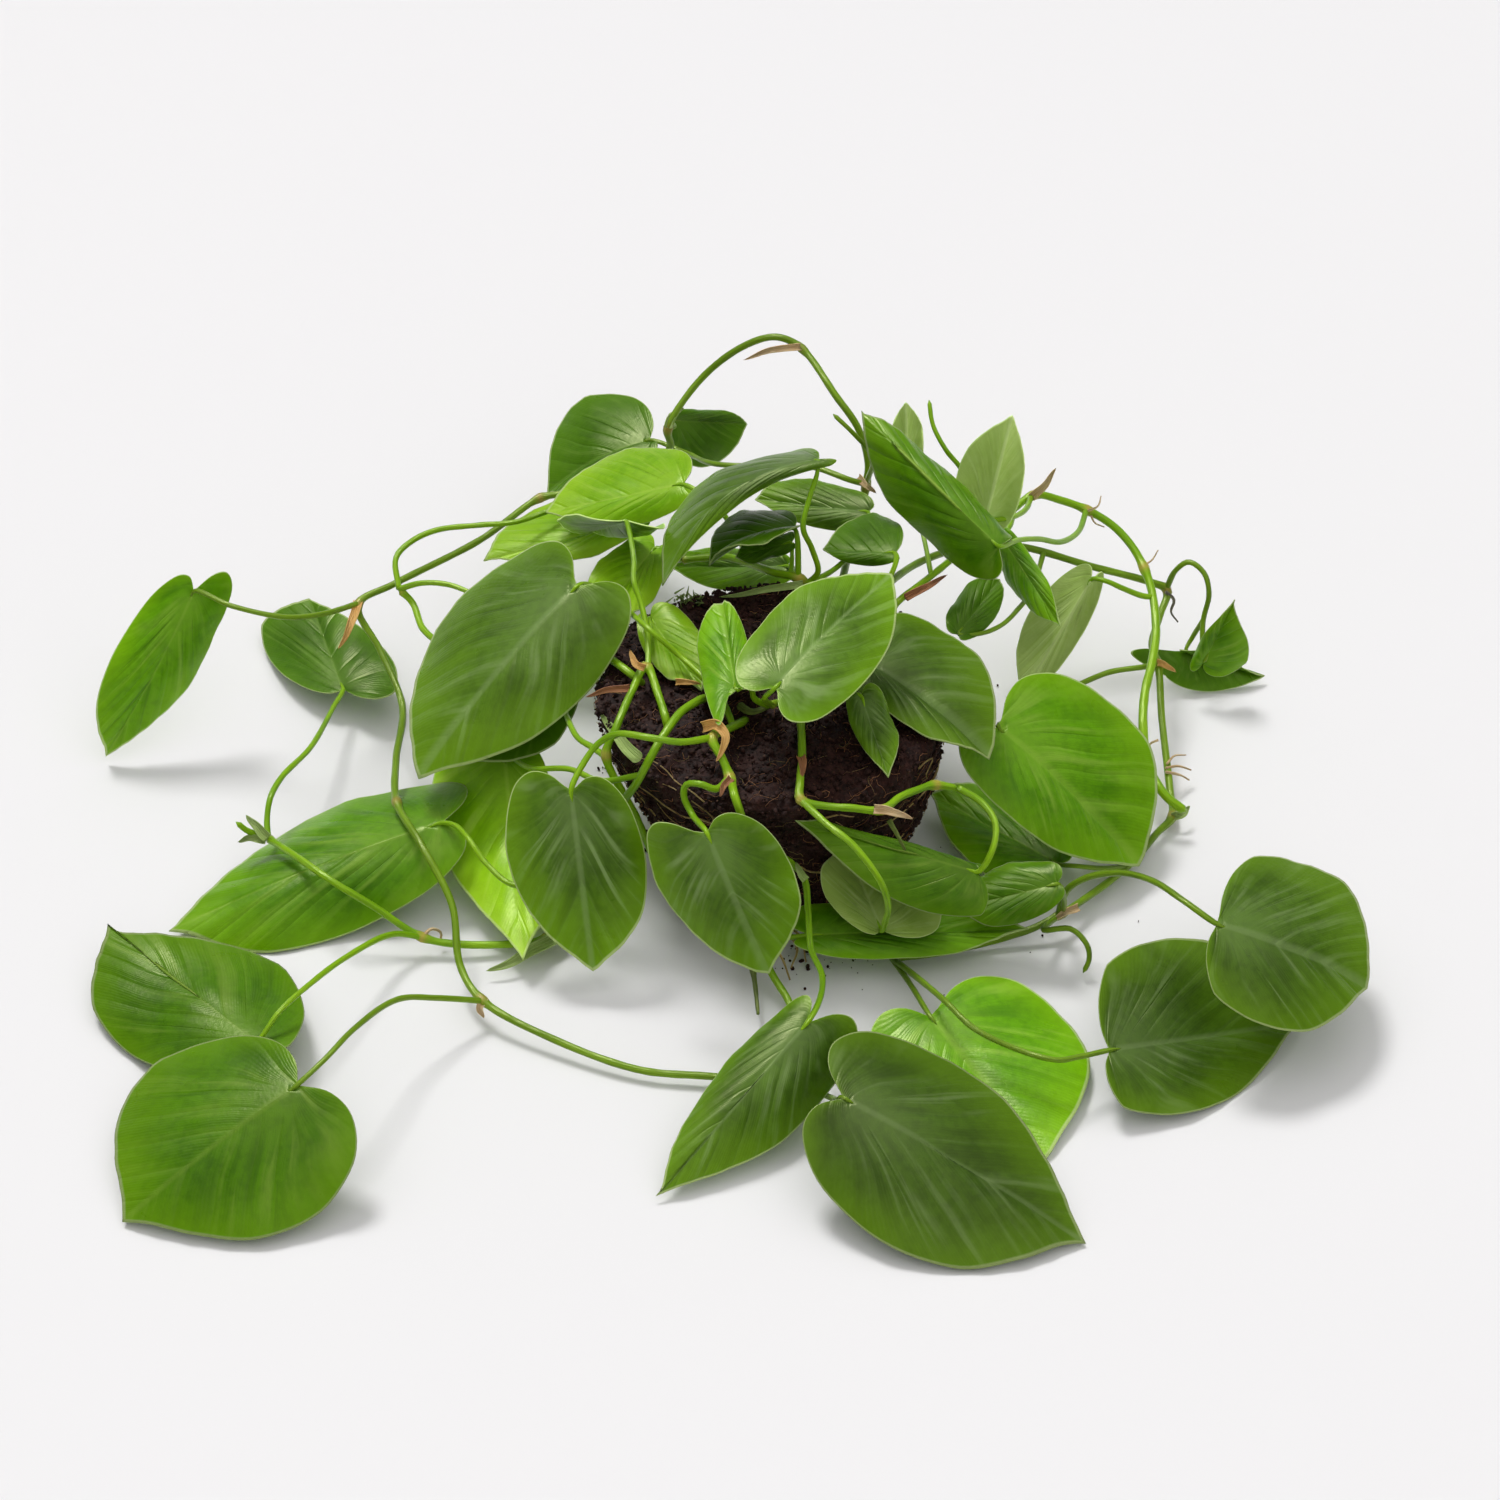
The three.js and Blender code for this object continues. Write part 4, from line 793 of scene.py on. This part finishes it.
# The blade's surface: a point of the midrib, plus a share of the way to that half's widest place, plus a
# rise along the blade's normal. The rise is puff times 4w(1-w), a slow wave times w squared and a ripple
# times w to the fourth, less a cosine of the vein number and a bell curve of w along the midrib, plus
# soft noise
def bladePoints(leaf, share, width, side, vein, clear):
    base, tip = spot(leaf["base"]), spot(leaf["tip"])
    along = tip - base
    leftPlace, rightPlace = spot(leaf["left"]), spot(leaf["right"])
    up = unit(np.cross(along, leftPlace - rightPlace))
    lobe = np.where(side > 0, *leaf["lobe"])

    # A straight line from notch to tip, lifted by arch times 4s(1-s) and let down by arch times 3s behind it
    def midrib(s):
        bend = np.where(s > 0, 4 * s * (1 - s), 3 * s)
        return base + s[:, None] * along + (leaf["arch"] * bend)[:, None] * up

    widest = midrib(np.array([heart[4][0]]))[0]
    left, right = leftPlace - widest, rightPlace - widest
    half = np.where(side[:, None] > 0, left, right)
    normal = unit(np.cross(along, half) * side[:, None])
    rise = blade["puff"] * 4 * width * (1 - width)
    rise = rise + np.sin(2 * np.pi * (1.6 * share + 0.31 * side)) * blade["wave"] * width**2
    rise = rise + np.sin(2 * np.pi * (5.3 * share + 0.4 * side)) * blade["edgeRipple"] * width**4
    quilt = np.cos(2 * np.pi * leafLook["furrows"] * vein) * np.clip(width * 4, 0, 1)
    quilt = quilt * np.clip(1.15 - width, 0, 1) * clear
    size = np.linalg.norm(along) / 100
    crease = blade["crease"] * np.exp(-((width / 0.09) ** 2)) * clear
    rise = rise - size * (blade["pucker"] * quilt + crease)
    stretched = np.where(share < 0, share * lobe, share)
    flat = midrib(stretched) + half * width[:, None]
    rise = rise + blade["swell"] * size * (softNoise(flat, 17.0, 4) - 0.5) * clear * (1 - 0.4 * width)
    return flat + normal * rise[:, None]


# A blade is rings round a point near its notch, out to its margin
halfOutline = smoothLine(heart, count=blade["margin"] // 2 + 1)
marginShare = np.concatenate([halfOutline[:, 0], halfOutline[-2:0:-1, 0]])
marginWidth = np.clip(np.concatenate([halfOutline[:, 1], halfOutline[-2:0:-1, 1]]), 0, None)
marginSide = np.concatenate([np.ones(len(halfOutline)), -np.ones(len(halfOutline) - 2)])
columns = len(marginShare)
ringPlaces = 1 - (1 - np.linspace(0, 1, blade["rings"] + 1)[1:]) ** 1.25
gridShare = (blade["centre"] + ringPlaces[:, None] * (marginShare - blade["centre"])).ravel()
gridWidth = np.append((ringPlaces[:, None] * marginWidth).ravel(), 0.0)
gridSide = np.tile(marginSide, len(ringPlaces))
gridShare = np.append(gridShare, blade["centre"])
gridSide = np.append(gridSide, 1.0)
# Which vein a point lies on: its share along, less a share that grows with the width to the 1.1, over a
# spacing that grows with the width, to the 0.7. So veins start close together by the notch and arch
# towards the tip
lead = gridShare - blade["centre"] - 0.52 * gridWidth**1.1
gridVein = lead / np.where(lead > 0, 0.5 + 0.4 * gridWidth, 0.14 + 0.95 * gridWidth)
gridVein = np.sign(gridVein) * np.abs(gridVein) ** 0.7
gridRing = np.append(np.repeat(ringPlaces, columns), 0.0)
gridClear = np.clip((gridRing - 0.08) / 0.3, 0, 1) ** 2 * np.clip((gridShare + 0.05) / 0.2, 0.3, 1)
upperQuads = gridFaces(len(ringPlaces), columns, True)
ring = np.arange(columns)
centrePoint = len(gridShare) - 1
upperFan = np.stack([np.full(columns, centrePoint), (ring + 1) % columns, ring], axis=1)
lastRing = (len(ringPlaces) - 1) * columns

for number, leaf in enumerate(leaves):
    ownPlace = np.full(len(gridShare), number * 37.0)
    drift = softNoise(np.stack([gridShare * 60, gridWidth * gridSide * 40, ownPlace], axis=1), 21.0, 5)
    leafVein = gridVein + blade["drift"] * (drift - 0.5)
    fuller = marginWidth ** (1 / np.where(marginSide > 0, *leaf["full"]))
    leafWidth = np.append((ringPlaces[:, None] * fuller).ravel(), 0.0)
    top = bladePoints(leaf, gridShare, leafWidth, gridSide, leafVein, gridClear)
    top[:, 2] = np.maximum(top[:, 2], blade["thickness"] + blade["clearance"])
    triangles = np.vstack([upperFan, upperQuads[:, [0, 1, 2]], upperQuads[:, [0, 2, 3]]])
    first, second, third = (top[triangles[:, k]] for k in range(3))
    cross = np.cross(second - first, third - first)
    normals = np.zeros_like(top)
    for k in range(3):
        np.add.at(normals, triangles[:, k], cross)
    normals = unit(normals)
    under = top - normals * blade["thickness"]
    under[:, 2] = np.maximum(under[:, 2], blade["clearance"])
    shift = len(top)
    here, after = lastRing + ring, lastRing + (ring + 1) % columns
    rimQuads = np.stack([here, after, shift + after, shift + here], axis=1)
    quads = np.vstack([upperQuads, upperQuads[:, ::-1] + shift, rimQuads])
    fans = np.vstack([upperFan, upperFan[:, ::-1] + shift])
    faceCounts = [len(upperQuads), len(upperQuads), len(rimQuads), len(upperFan), len(upperFan)]
    isUnder = np.repeat([0, 1, 0, 0, 1], faceCounts)
    veins = np.tile(np.stack([leafVein, gridWidth * gridSide], axis=1), (2, 1))
    # Each leaf's brightness, partly painted light and shade, goes into the "rim" UV map
    ownToneAndLight = np.full(len(gridRing), leafToneAndLight.get(leaf["name"], 1.0))
    rims = np.tile(np.stack([gridRing, ownToneAndLight], axis=1), (2, 1))
    addObject(leaf["name"] + "_blade", np.vstack([top, under]), quads, fans, leafMaterials[leaf["green"]],
              {"veins": veins, "rim": rims}, isUnder, leaf["name"])
print("leaves made:", len(leaves))

# Stems and leaf stalks, in mm
stem = {"sides": 12, "stalkSides": 10, "nodeSwelling": 0.55, "nodeLength": 2.4, "nodeMark": 1.5,
        "stalkRadius": 1.1, "stalkTaper": 0.8, "spacing": 1.5, "unevenness": 0.12, "endRounding": 0.8,
        "stalkRounding": 1.5, "fadeUnderLeaf": 5.5, "reachUnderLeaf": 4}


# A stem: its radius falls evenly along it, swells at each node by a bell curve of the distance to the
# node, and runs out over its last millimetres as a square root
def stemMesh(line, startRadius, endRadius, knots, sides, taper):
    radii = np.linspace(startRadius, endRadius, len(line))
    mark = np.zeros(len(line))
    for knot in knots:
        away = np.linalg.norm(line - knot, axis=1)
        radii = radii + stem["nodeSwelling"] * np.exp(-(away / stem["nodeLength"]) ** 2)
        mark = np.maximum(mark, np.exp(-(away / stem["nodeMark"]) ** 2))
    toEnd = np.linalg.norm(line - line[-1], axis=1)
    radii = radii * (1 + stem["unevenness"] * (softNoise(line, 4.0, 3) - 0.5))
    radii = radii * np.sqrt(np.clip(toEnd / taper, 0.02, 1))
    points, quads, caps, coordinates = tubeMesh(line, radii, sides)
    marks = np.append(np.repeat(mark, sides), [mark[0], mark[-1]])
    return points, quads, caps, np.column_stack([coordinates, marks])


leafNamed = {leaf["name"]: leaf for leaf in leaves}
for vine in vines:
    mainLine = smoothLine([spot(place) for place in vine["stem"]], spacing=stem["spacing"])
    knots = [spot(place) for place in vine["nodes"]]
    meshes = [stemMesh(mainLine, *vine["radius"], knots, stem["sides"], stem["endRounding"])]
    grown = mainLine
    for stalk in vine["stalks"]:
        places = [spot(place) for place in stalk["path"]]
        places[0] = grown[np.argmin(np.linalg.norm(grown - places[0], axis=1))]
        radius = stalk["radius"] or stem["stalkRadius"]
        taper = stem["stalkRounding"]
        if stalk["leaf"]:
            leaf = leafNamed[stalk["leaf"]]
            base = spot(leaf["base"])
            toTip = unit(spot(leaf["tip"]) - base)
            places = places + [base, base + toTip * stem["reachUnderLeaf"]]
            taper = stem["fadeUnderLeaf"]
        line = smoothLine(places, spacing=stem["spacing"])
        endRadius = radius * stem["stalkTaper"]
        meshes.append(stemMesh(line, radius, endRadius, [], stem["stalkSides"], taper))
        grown = np.vstack([grown, line])
    points, quads, caps, values = joinMeshes(meshes)
    nodeMarks = np.column_stack([values[:, 2], values[:, 2]])
    material, slot = stemLooks[vine["green"]]
    addObject(vine["name"] + "_stems", points, quads, caps, [material],
              {"stem": values[:, :2], "node": nodeMarks}, node=vine["name"])
print("vines made:", len(vines))

# Sheaths and tendrils: points along and across a sheath, its wall in mm, and a tendril's sides and its points'
# spacing in mm
strip = {"along": 22, "across": 9, "wall": 0.25, "tendrilSides": 7, "tendrilSpacing": 1.2}


# A sheath: a strip along a line, its half width the given one times the way left to the end to the 0.55,
# curled up at both edges round the line by the cosine of its turn
def sheathMesh(path, half):
    line = smoothLine([spot(place) for place in path], count=strip["along"])
    tangents = unit(np.gradient(line, axis=0))
    facing = unit(np.cross(tangents, forward))
    lift = unit(np.cross(facing, tangents))
    u = np.linspace(0, 1, len(line))[:, None]
    v = np.linspace(-1, 1, strip["across"])[None, :]
    reach = half * (1 - u) ** 0.55 * (0.75 + 0.5 * u)
    turn = v * (1.25 - 0.5 * u) + 0.15 * np.sin(9 * u)
    sideways = (reach * np.sin(turn))[..., None] * facing[:, None]
    upwards = (reach * (0.9 - np.cos(turn)))[..., None] * lift[:, None]
    points = (line[:, None] + sideways - upwards).reshape(-1, 3)
    lengthwise = np.repeat(u.ravel() * 12, strip["across"])
    coordinates = np.column_stack([lengthwise, np.tile(v.ravel(), len(line))])
    return points, gridFaces(len(line), strip["across"], False), np.zeros((0, 3), int), coordinates


# A piece of joined meshes in one dry colour
def addDry(name, meshes, colour):
    points, quads, caps, values = joinMeshes(meshes)
    return addObject(name, points, quads, caps, [dryMaterials[colour]], {"sheath": values})


for wanted in sorted({colour for colour, half, path in sheaths}):
    meshes = [sheathMesh(path, half) for colour, half, path in sheaths if colour == wanted]
    piece = addDry("sheaths_" + wanted, meshes, wanted)
    wall = piece.modifiers.new("wall", "SOLIDIFY")
    wall.thickness = strip["wall"] * metre
for wanted in sorted({colour for colour, radius, path in tendrils}):
    meshes = []
    for colour, radius, path in tendrils:
        if colour == wanted:
            line = smoothLine([spot(place) for place in path], spacing=strip["tendrilSpacing"])
            radii = radius * np.linspace(1, 0.45, len(line)) * (0.85 + 0.3 * softNoise(line, 1.7, 5))
            meshes.append(tubeMesh(line, radii, strip["tendrilSides"]))
    addDry("tendrils_" + wanted, meshes, wanted)
print("sheaths and tendrils made")

# The root ball, in mm. topEnd and wallEnd are the shares of the profile where the top and the wall end,
# and mossPlace is where the moss grows, in the photograph's pixels
ball = {"topRadius": 60, "footRadius": 41.5, "height": 66, "lean": -4, "columns": 400, "coarse": 1.6,
        "fine": 1.3, "profileLength": 205, "meanRadius": 45, "topEnd": 0.37, "wallEnd": 0.75,
        "crumbs": 7000, "onTop": 0.55, "fibres": 700, "paleFibres": 260, "roots": 54, "moss": 46,
        "mossPlace": (690, 601)}


# The ball's surface: a pot-shaped profile carried round, swollen by two sines of the turn and leaned to
# the left
def ballSurface(profilePlace, turn):
    low, high, tall = ball["footRadius"], ball["topRadius"], ball["height"]
    profile = np.array([[0, 1.5], [high * 0.55, 1.0], [high - 3, 0], [high, -3],
                        [low + (high - low) * 0.7, -tall * 0.34],
                        [low + (high - low) * 0.35, -tall * 0.68],
                        [low, -tall + 2], [low - 2, -tall], [0, -tall]])
    steps = np.concatenate([[0], np.cumsum(np.linalg.norm(np.diff(profile, axis=0), axis=1))])
    at = profilePlace * steps[-1]
    radius = np.interp(at, steps, profile[:, 0])
    height = np.interp(at, steps, profile[:, 1]) + tall
    x, y = radius * np.cos(turn), radius * np.sin(turn)
    swell = 1 + 0.018 * np.sin(3 * turn + height / 11) + 0.012 * np.sin(7 * turn - height / 17)
    swell = np.where(height > 1, swell, 1)
    return np.stack([x * swell + ball["lean"] * height / tall, y * swell, height], axis=-1)


# The same surface with its outward normal, from its slopes along the profile and round it
def ballFrame(profilePlace, turn):
    step = 0.004
    here = ballSurface(profilePlace, turn)
    lower, upper = np.minimum(profilePlace + step, 1), np.maximum(profilePlace - step, 0)
    down = ballSurface(lower, turn) - ballSurface(upper, turn)
    onwards = ballSurface(profilePlace, turn + step) - ballSurface(profilePlace, turn - step)
    normal = unit(np.cross(down, onwards))
    outward = here - np.array([ball["lean"] / 2, 0, ball["height"] / 2])
    return here, normal * np.sign(np.sum(normal * outward, axis=-1, keepdims=True) + 1e-9)


# Its relief is soft noise of three sizes, held nearly flat at the foot
profilePlaces = np.concatenate([np.linspace(0.004, 0.36, 62), np.linspace(0.366, 0.78, 66),
                                np.linspace(0.79, 0.997, 12)])
turns = np.linspace(0, 2 * np.pi, ball["columns"], endpoint=False)
placeGrid, turnGrid = (grid.ravel() for grid in np.meshgrid(profilePlaces, turns, indexing="ij"))
surface, outwards = ballFrame(placeGrid, turnGrid)
relief = ((softNoise(surface, 9.0, 11) - 0.62) * 2.2
          + (softNoise(surface, 3.4, 12) - 0.6) * ball["coarse"] * 1.6
          + (softNoise(surface, 1.5, 13) - 0.6) * ball["fine"] * 1.2)
relief = np.where(surface[:, 2] < 2.5, np.minimum(relief, 0) * 0.2, relief)
points = surface + outwards * relief[:, None]
points = np.vstack([points, [ball["lean"], 0, ball["height"] + 0.4], [0, 0, 0]])
rows, around = len(profilePlaces), len(turns)
quads = gridFaces(rows, around, True)
ring = np.arange(around)
after = (ring + 1) % around
tail = (rows - 1) * around
caps = np.vstack([np.stack([ring, after, np.full(around, rows * around)], axis=1),
                  np.stack([tail + after, tail + ring, np.full(around, rows * around + 1)], axis=1)])
addObject("soil_ball", points, quads[:, ::-1], caps, [soil], node="root_ball")

# Crumbs of soil: squashed twelve-pointed lumps, scattered over the top and the wall
crumbDraw = np.random.default_rng(21)
golden = (1 + 5 ** 0.5) / 2
corners = np.array([[-1, golden, 0], [1, golden, 0], [-1, -golden, 0], [1, -golden, 0],
                    [0, -1, golden], [0, 1, golden], [0, -1, -golden], [0, 1, -golden],
                    [golden, 0, -1], [golden, 0, 1], [-golden, 0, -1], [-golden, 0, 1]]) / 1.9
lumpFaces = np.array([[0, 11, 5], [0, 5, 1], [0, 1, 7], [0, 7, 10], [0, 10, 11],
                      [1, 5, 9], [5, 11, 4], [11, 10, 2], [10, 7, 6], [7, 1, 8],
                      [3, 9, 4], [3, 4, 2], [3, 2, 6], [3, 6, 8], [3, 8, 9],
                      [4, 9, 5], [2, 4, 11], [6, 2, 10], [8, 6, 7], [9, 8, 1]])
count = ball["crumbs"]
onTop = crumbDraw.random(count) < ball["onTop"]
topPlaces = ball["topEnd"] * np.sqrt(crumbDraw.random(count))
wallPlaces = ball["topEnd"] + (ball["wallEnd"] - ball["topEnd"]) * crumbDraw.random(count)
centres, outwards = ballFrame(np.where(onTop, topPlaces, wallPlaces), crumbDraw.random(count) * 2 * np.pi)
sizes = 0.35 + 1.1 * crumbDraw.random(count) ** 3
basis = np.linalg.qr(crumbDraw.normal(size=(count, 3, 3)))[0]
squash = 0.6 + 0.5 * crumbDraw.random((count, 1, 3))
lumps = (corners[None] * squash * (1 + 0.25 * crumbDraw.normal(size=(count, 12, 1)).clip(-1, 1))) @ basis
points = (centres + outwards * 0.2)[:, None] + lumps * sizes[:, None, None]
flip = np.linalg.det(basis) < 0
faces = lumpFaces[None] + (np.arange(count) * 12)[:, None, None]
faces = np.where(flip[:, None, None], faces[..., ::-1], faces).reshape(-1, 3)
addObject("soil_crumbs", points.reshape(-1, 3), np.zeros((0, 4), int), faces, [soil])

# Loose crumbs on the table, round the foot: where the photograph shows them, thinning outwards by a bell
# curve. Each heap is its pixel across and down, its spread and how many crumbs it has
loose = [[820, 950, 26, 80], [660, 845, 16, 26], [985, 690, 20, 22], [1000, 905, 60, 14],
         [625, 770, 14, 20]]
draw = np.random.default_rng(22)
heaps = []
for x, y, spread, many in loose:
    acrossPlaces = x + spread * draw.normal(size=many)
    heaps.append(np.column_stack([acrossPlaces, y + spread * 0.6 * draw.normal(size=many)]))
places = np.vstack(heaps)
count = len(places)
sizes = 0.25 + 0.9 * draw.random(count) ** 3
basis = np.linalg.qr(draw.normal(size=(count, 3, 3)))[0]
basis = basis * np.sign(np.linalg.det(basis))[:, None, None]
centres = np.array([spot([x, y, size * 0.6]) for (x, y), size in zip(places, sizes)])
lumps = (corners[None] * (0.6 + 0.5 * draw.random((count, 1, 3)))) @ basis
points = centres[:, None] + lumps * sizes[:, None, None]
points[..., 2] = np.maximum(points[..., 2], 0.02)
faces = (lumpFaces[None] + (np.arange(count) * 12)[:, None, None]).reshape(-1, 3)
addObject("loose_crumbs", points.reshape(-1, 3), np.zeros((0, 4), int), faces, [soil])


# Threads on the ball: each wanders over the surface from a random place in seven steps, and its heading
# drifts by the running sum of normal draws. The lift is its height above the surface in mm
def threadMeshes(howMany, lengths, radius, lift, sides, seed, places):
    draw = np.random.default_rng(seed)
    meshes = []
    for thread in range(howMany):
        length = draw.uniform(*lengths)
        start = draw.uniform(*places)
        turn = draw.uniform(0, 2 * np.pi)
        heading = draw.uniform(0, 2 * np.pi)
        bends = np.cumsum(draw.normal(0, 0.55, 7)) + heading
        step = length / 7
        place = np.clip(start + np.cumsum(np.cos(bends)) * step / ball["profileLength"], 0.02, 0.78)
        turnSteps = turn + np.cumsum(np.sin(bends)) * step / ball["meanRadius"]
        here, outward = ballFrame(place, turnSteps)
        here = here + outward * (lift * (0.3 + draw.random(7)[:, None] * 1.2))
        line = smoothLine(here, spacing=2.2 if length > 16 else 1.6)
        radii = radius * draw.uniform(0.6, 1.2) * np.linspace(1, 0.5, len(line))
        meshes.append(tubeMesh(line, radii, sides))
    return meshes


whole = (0.02, ball["wallEnd"])
fibres = threadMeshes(ball["fibres"], (4, 13), radius=0.16, lift=0.7, sides=3, seed=31, places=whole)
addDry("soil_fibres", fibres, "redBrown")
paleFibres = threadMeshes(ball["paleFibres"], (3, 12), radius=0.11, lift=0.9, sides=3, seed=33, places=whole)
addDry("pale_fibres", paleFibres, "straw")
moss = []
for tuft in range(ball["moss"]):
    x = ball["mossPlace"][0] + 9 * crumbDraw.normal()
    y = ball["mossPlace"][1] + 3 * crumbDraw.normal()
    foot = spot([x, y, 65])
    lean = 5 * crumbDraw.normal()
    head = spot([x + lean, y - 3 + 3 * crumbDraw.normal(), 68 + 2 * crumbDraw.random()])
    line = smoothLine([foot, foot * 0.4 + head * 0.6, head], count=4)
    moss.append(tubeMesh(line, 0.45 * np.linspace(1, 0.3, 4), 4))
addDry("moss", moss, "pale")
roots = threadMeshes(ball["roots"], (18, 48), radius=0.34, lift=0.6, sides=6, seed=32,
                     places=(ball["topEnd"], 0.70))
addDry("fine_roots", roots, "straw")
print("root ball made")

# The studio, in metres: the floor, the sky, two suns (strength, then width, elevation and turn in degrees) and
# a softbox, which stands softboxAway to the side of what it looks at
studio = {"floorHalf": 3.0, "floorLevel": -0.0002, "floorColour": (0.86, 0.85, 0.855, 1),
          "skyLow": (0.24, 0.239, 0.239, 1), "skyHigh": (1.04, 1.03, 1.035, 1), "skyStep": (0.55, 0.98),
          "keySun": (1.45, 16, 62, 210), "fillSun": (0.4, 60, 38, 20), "softboxSize": 0.6,
          "softboxPower": 26, "softboxPlace": (-0.45, 0.5, 1.35), "softboxAway": 0.67}
half, level = studio["floorHalf"], studio["floorLevel"]
floorMesh = bpy.data.meshes.new("floor")
floorCorners = [(x * half, y * half, level) for x, y in ((-1, -1), (1, -1), (1, 1), (-1, 1))]
floorMesh.from_pydata(floorCorners, [], [(0, 1, 2, 3)])
floor = bpy.data.objects.new("floor", floorMesh)
bpy.context.collection.objects.link(floor)
floorMaterial, floorShader = startMaterial("pale floor", 0.8, 0.2)[::2]
floorShader.inputs["Base Color"].default_value = studio["floorColour"]
floorMesh.materials.append(floorMaterial)

# The sky is brighter overhead than near the floor, by a smooth step of the height of the direction
world = bpy.data.worlds.new("studio")
world.use_nodes = True
sky = world.node_tree
direction = sky.nodes.new("ShaderNodeTexCoord")
skySplit = sky.nodes.new("ShaderNodeSeparateXYZ")
sky.links.new(direction.outputs["Generated"], skySplit.inputs[0])
overhead = addStep(sky, skySplit.outputs["Z"], *studio["skyStep"])
skyColour = addMix(sky, overhead, studio["skyLow"], studio["skyHigh"])
sky.links.new(skyColour, sky.nodes["Background"].inputs["Color"])
sky.nodes["Background"].inputs["Strength"].default_value = 1.0
bpy.context.scene.world = world


# A sun of a width in degrees, at an elevation and turned round from the camera's side
def addSun(name, strength, width, elevation, turn):
    light = bpy.data.objects.new(name, bpy.data.lights.new(name, "SUN"))
    light.data.energy = strength
    light.data.angle = np.radians(width)
    light.rotation_euler = (np.radians(90 - elevation), 0, np.radians(turn))
    bpy.context.collection.objects.link(light)


# Wide soft lights: one from behind on the left, one from the front right
addSun("key light", *studio["keySun"])
addSun("fill light", *studio["fillSun"])
# A softbox above on the left that only the shine of the leaves shows, turned to look at the root ball
softbox = bpy.data.objects.new("softbox", bpy.data.lights.new("softbox", "AREA"))
softbox.data.size = studio["softboxSize"]
softbox.data.energy = studio["softboxPower"]
softbox.location = studio["softboxPlace"]
x, y, z = studio["softboxPlace"]
softbox.rotation_euler = (np.arctan2(studio["softboxAway"], z), 0, np.arctan2(-y, -x) - np.pi / 2)
softbox.visible_diffuse = False
bpy.context.collection.objects.link(softbox)
bpy.context.scene.view_settings.view_transform = "Standard"

print("scene made")
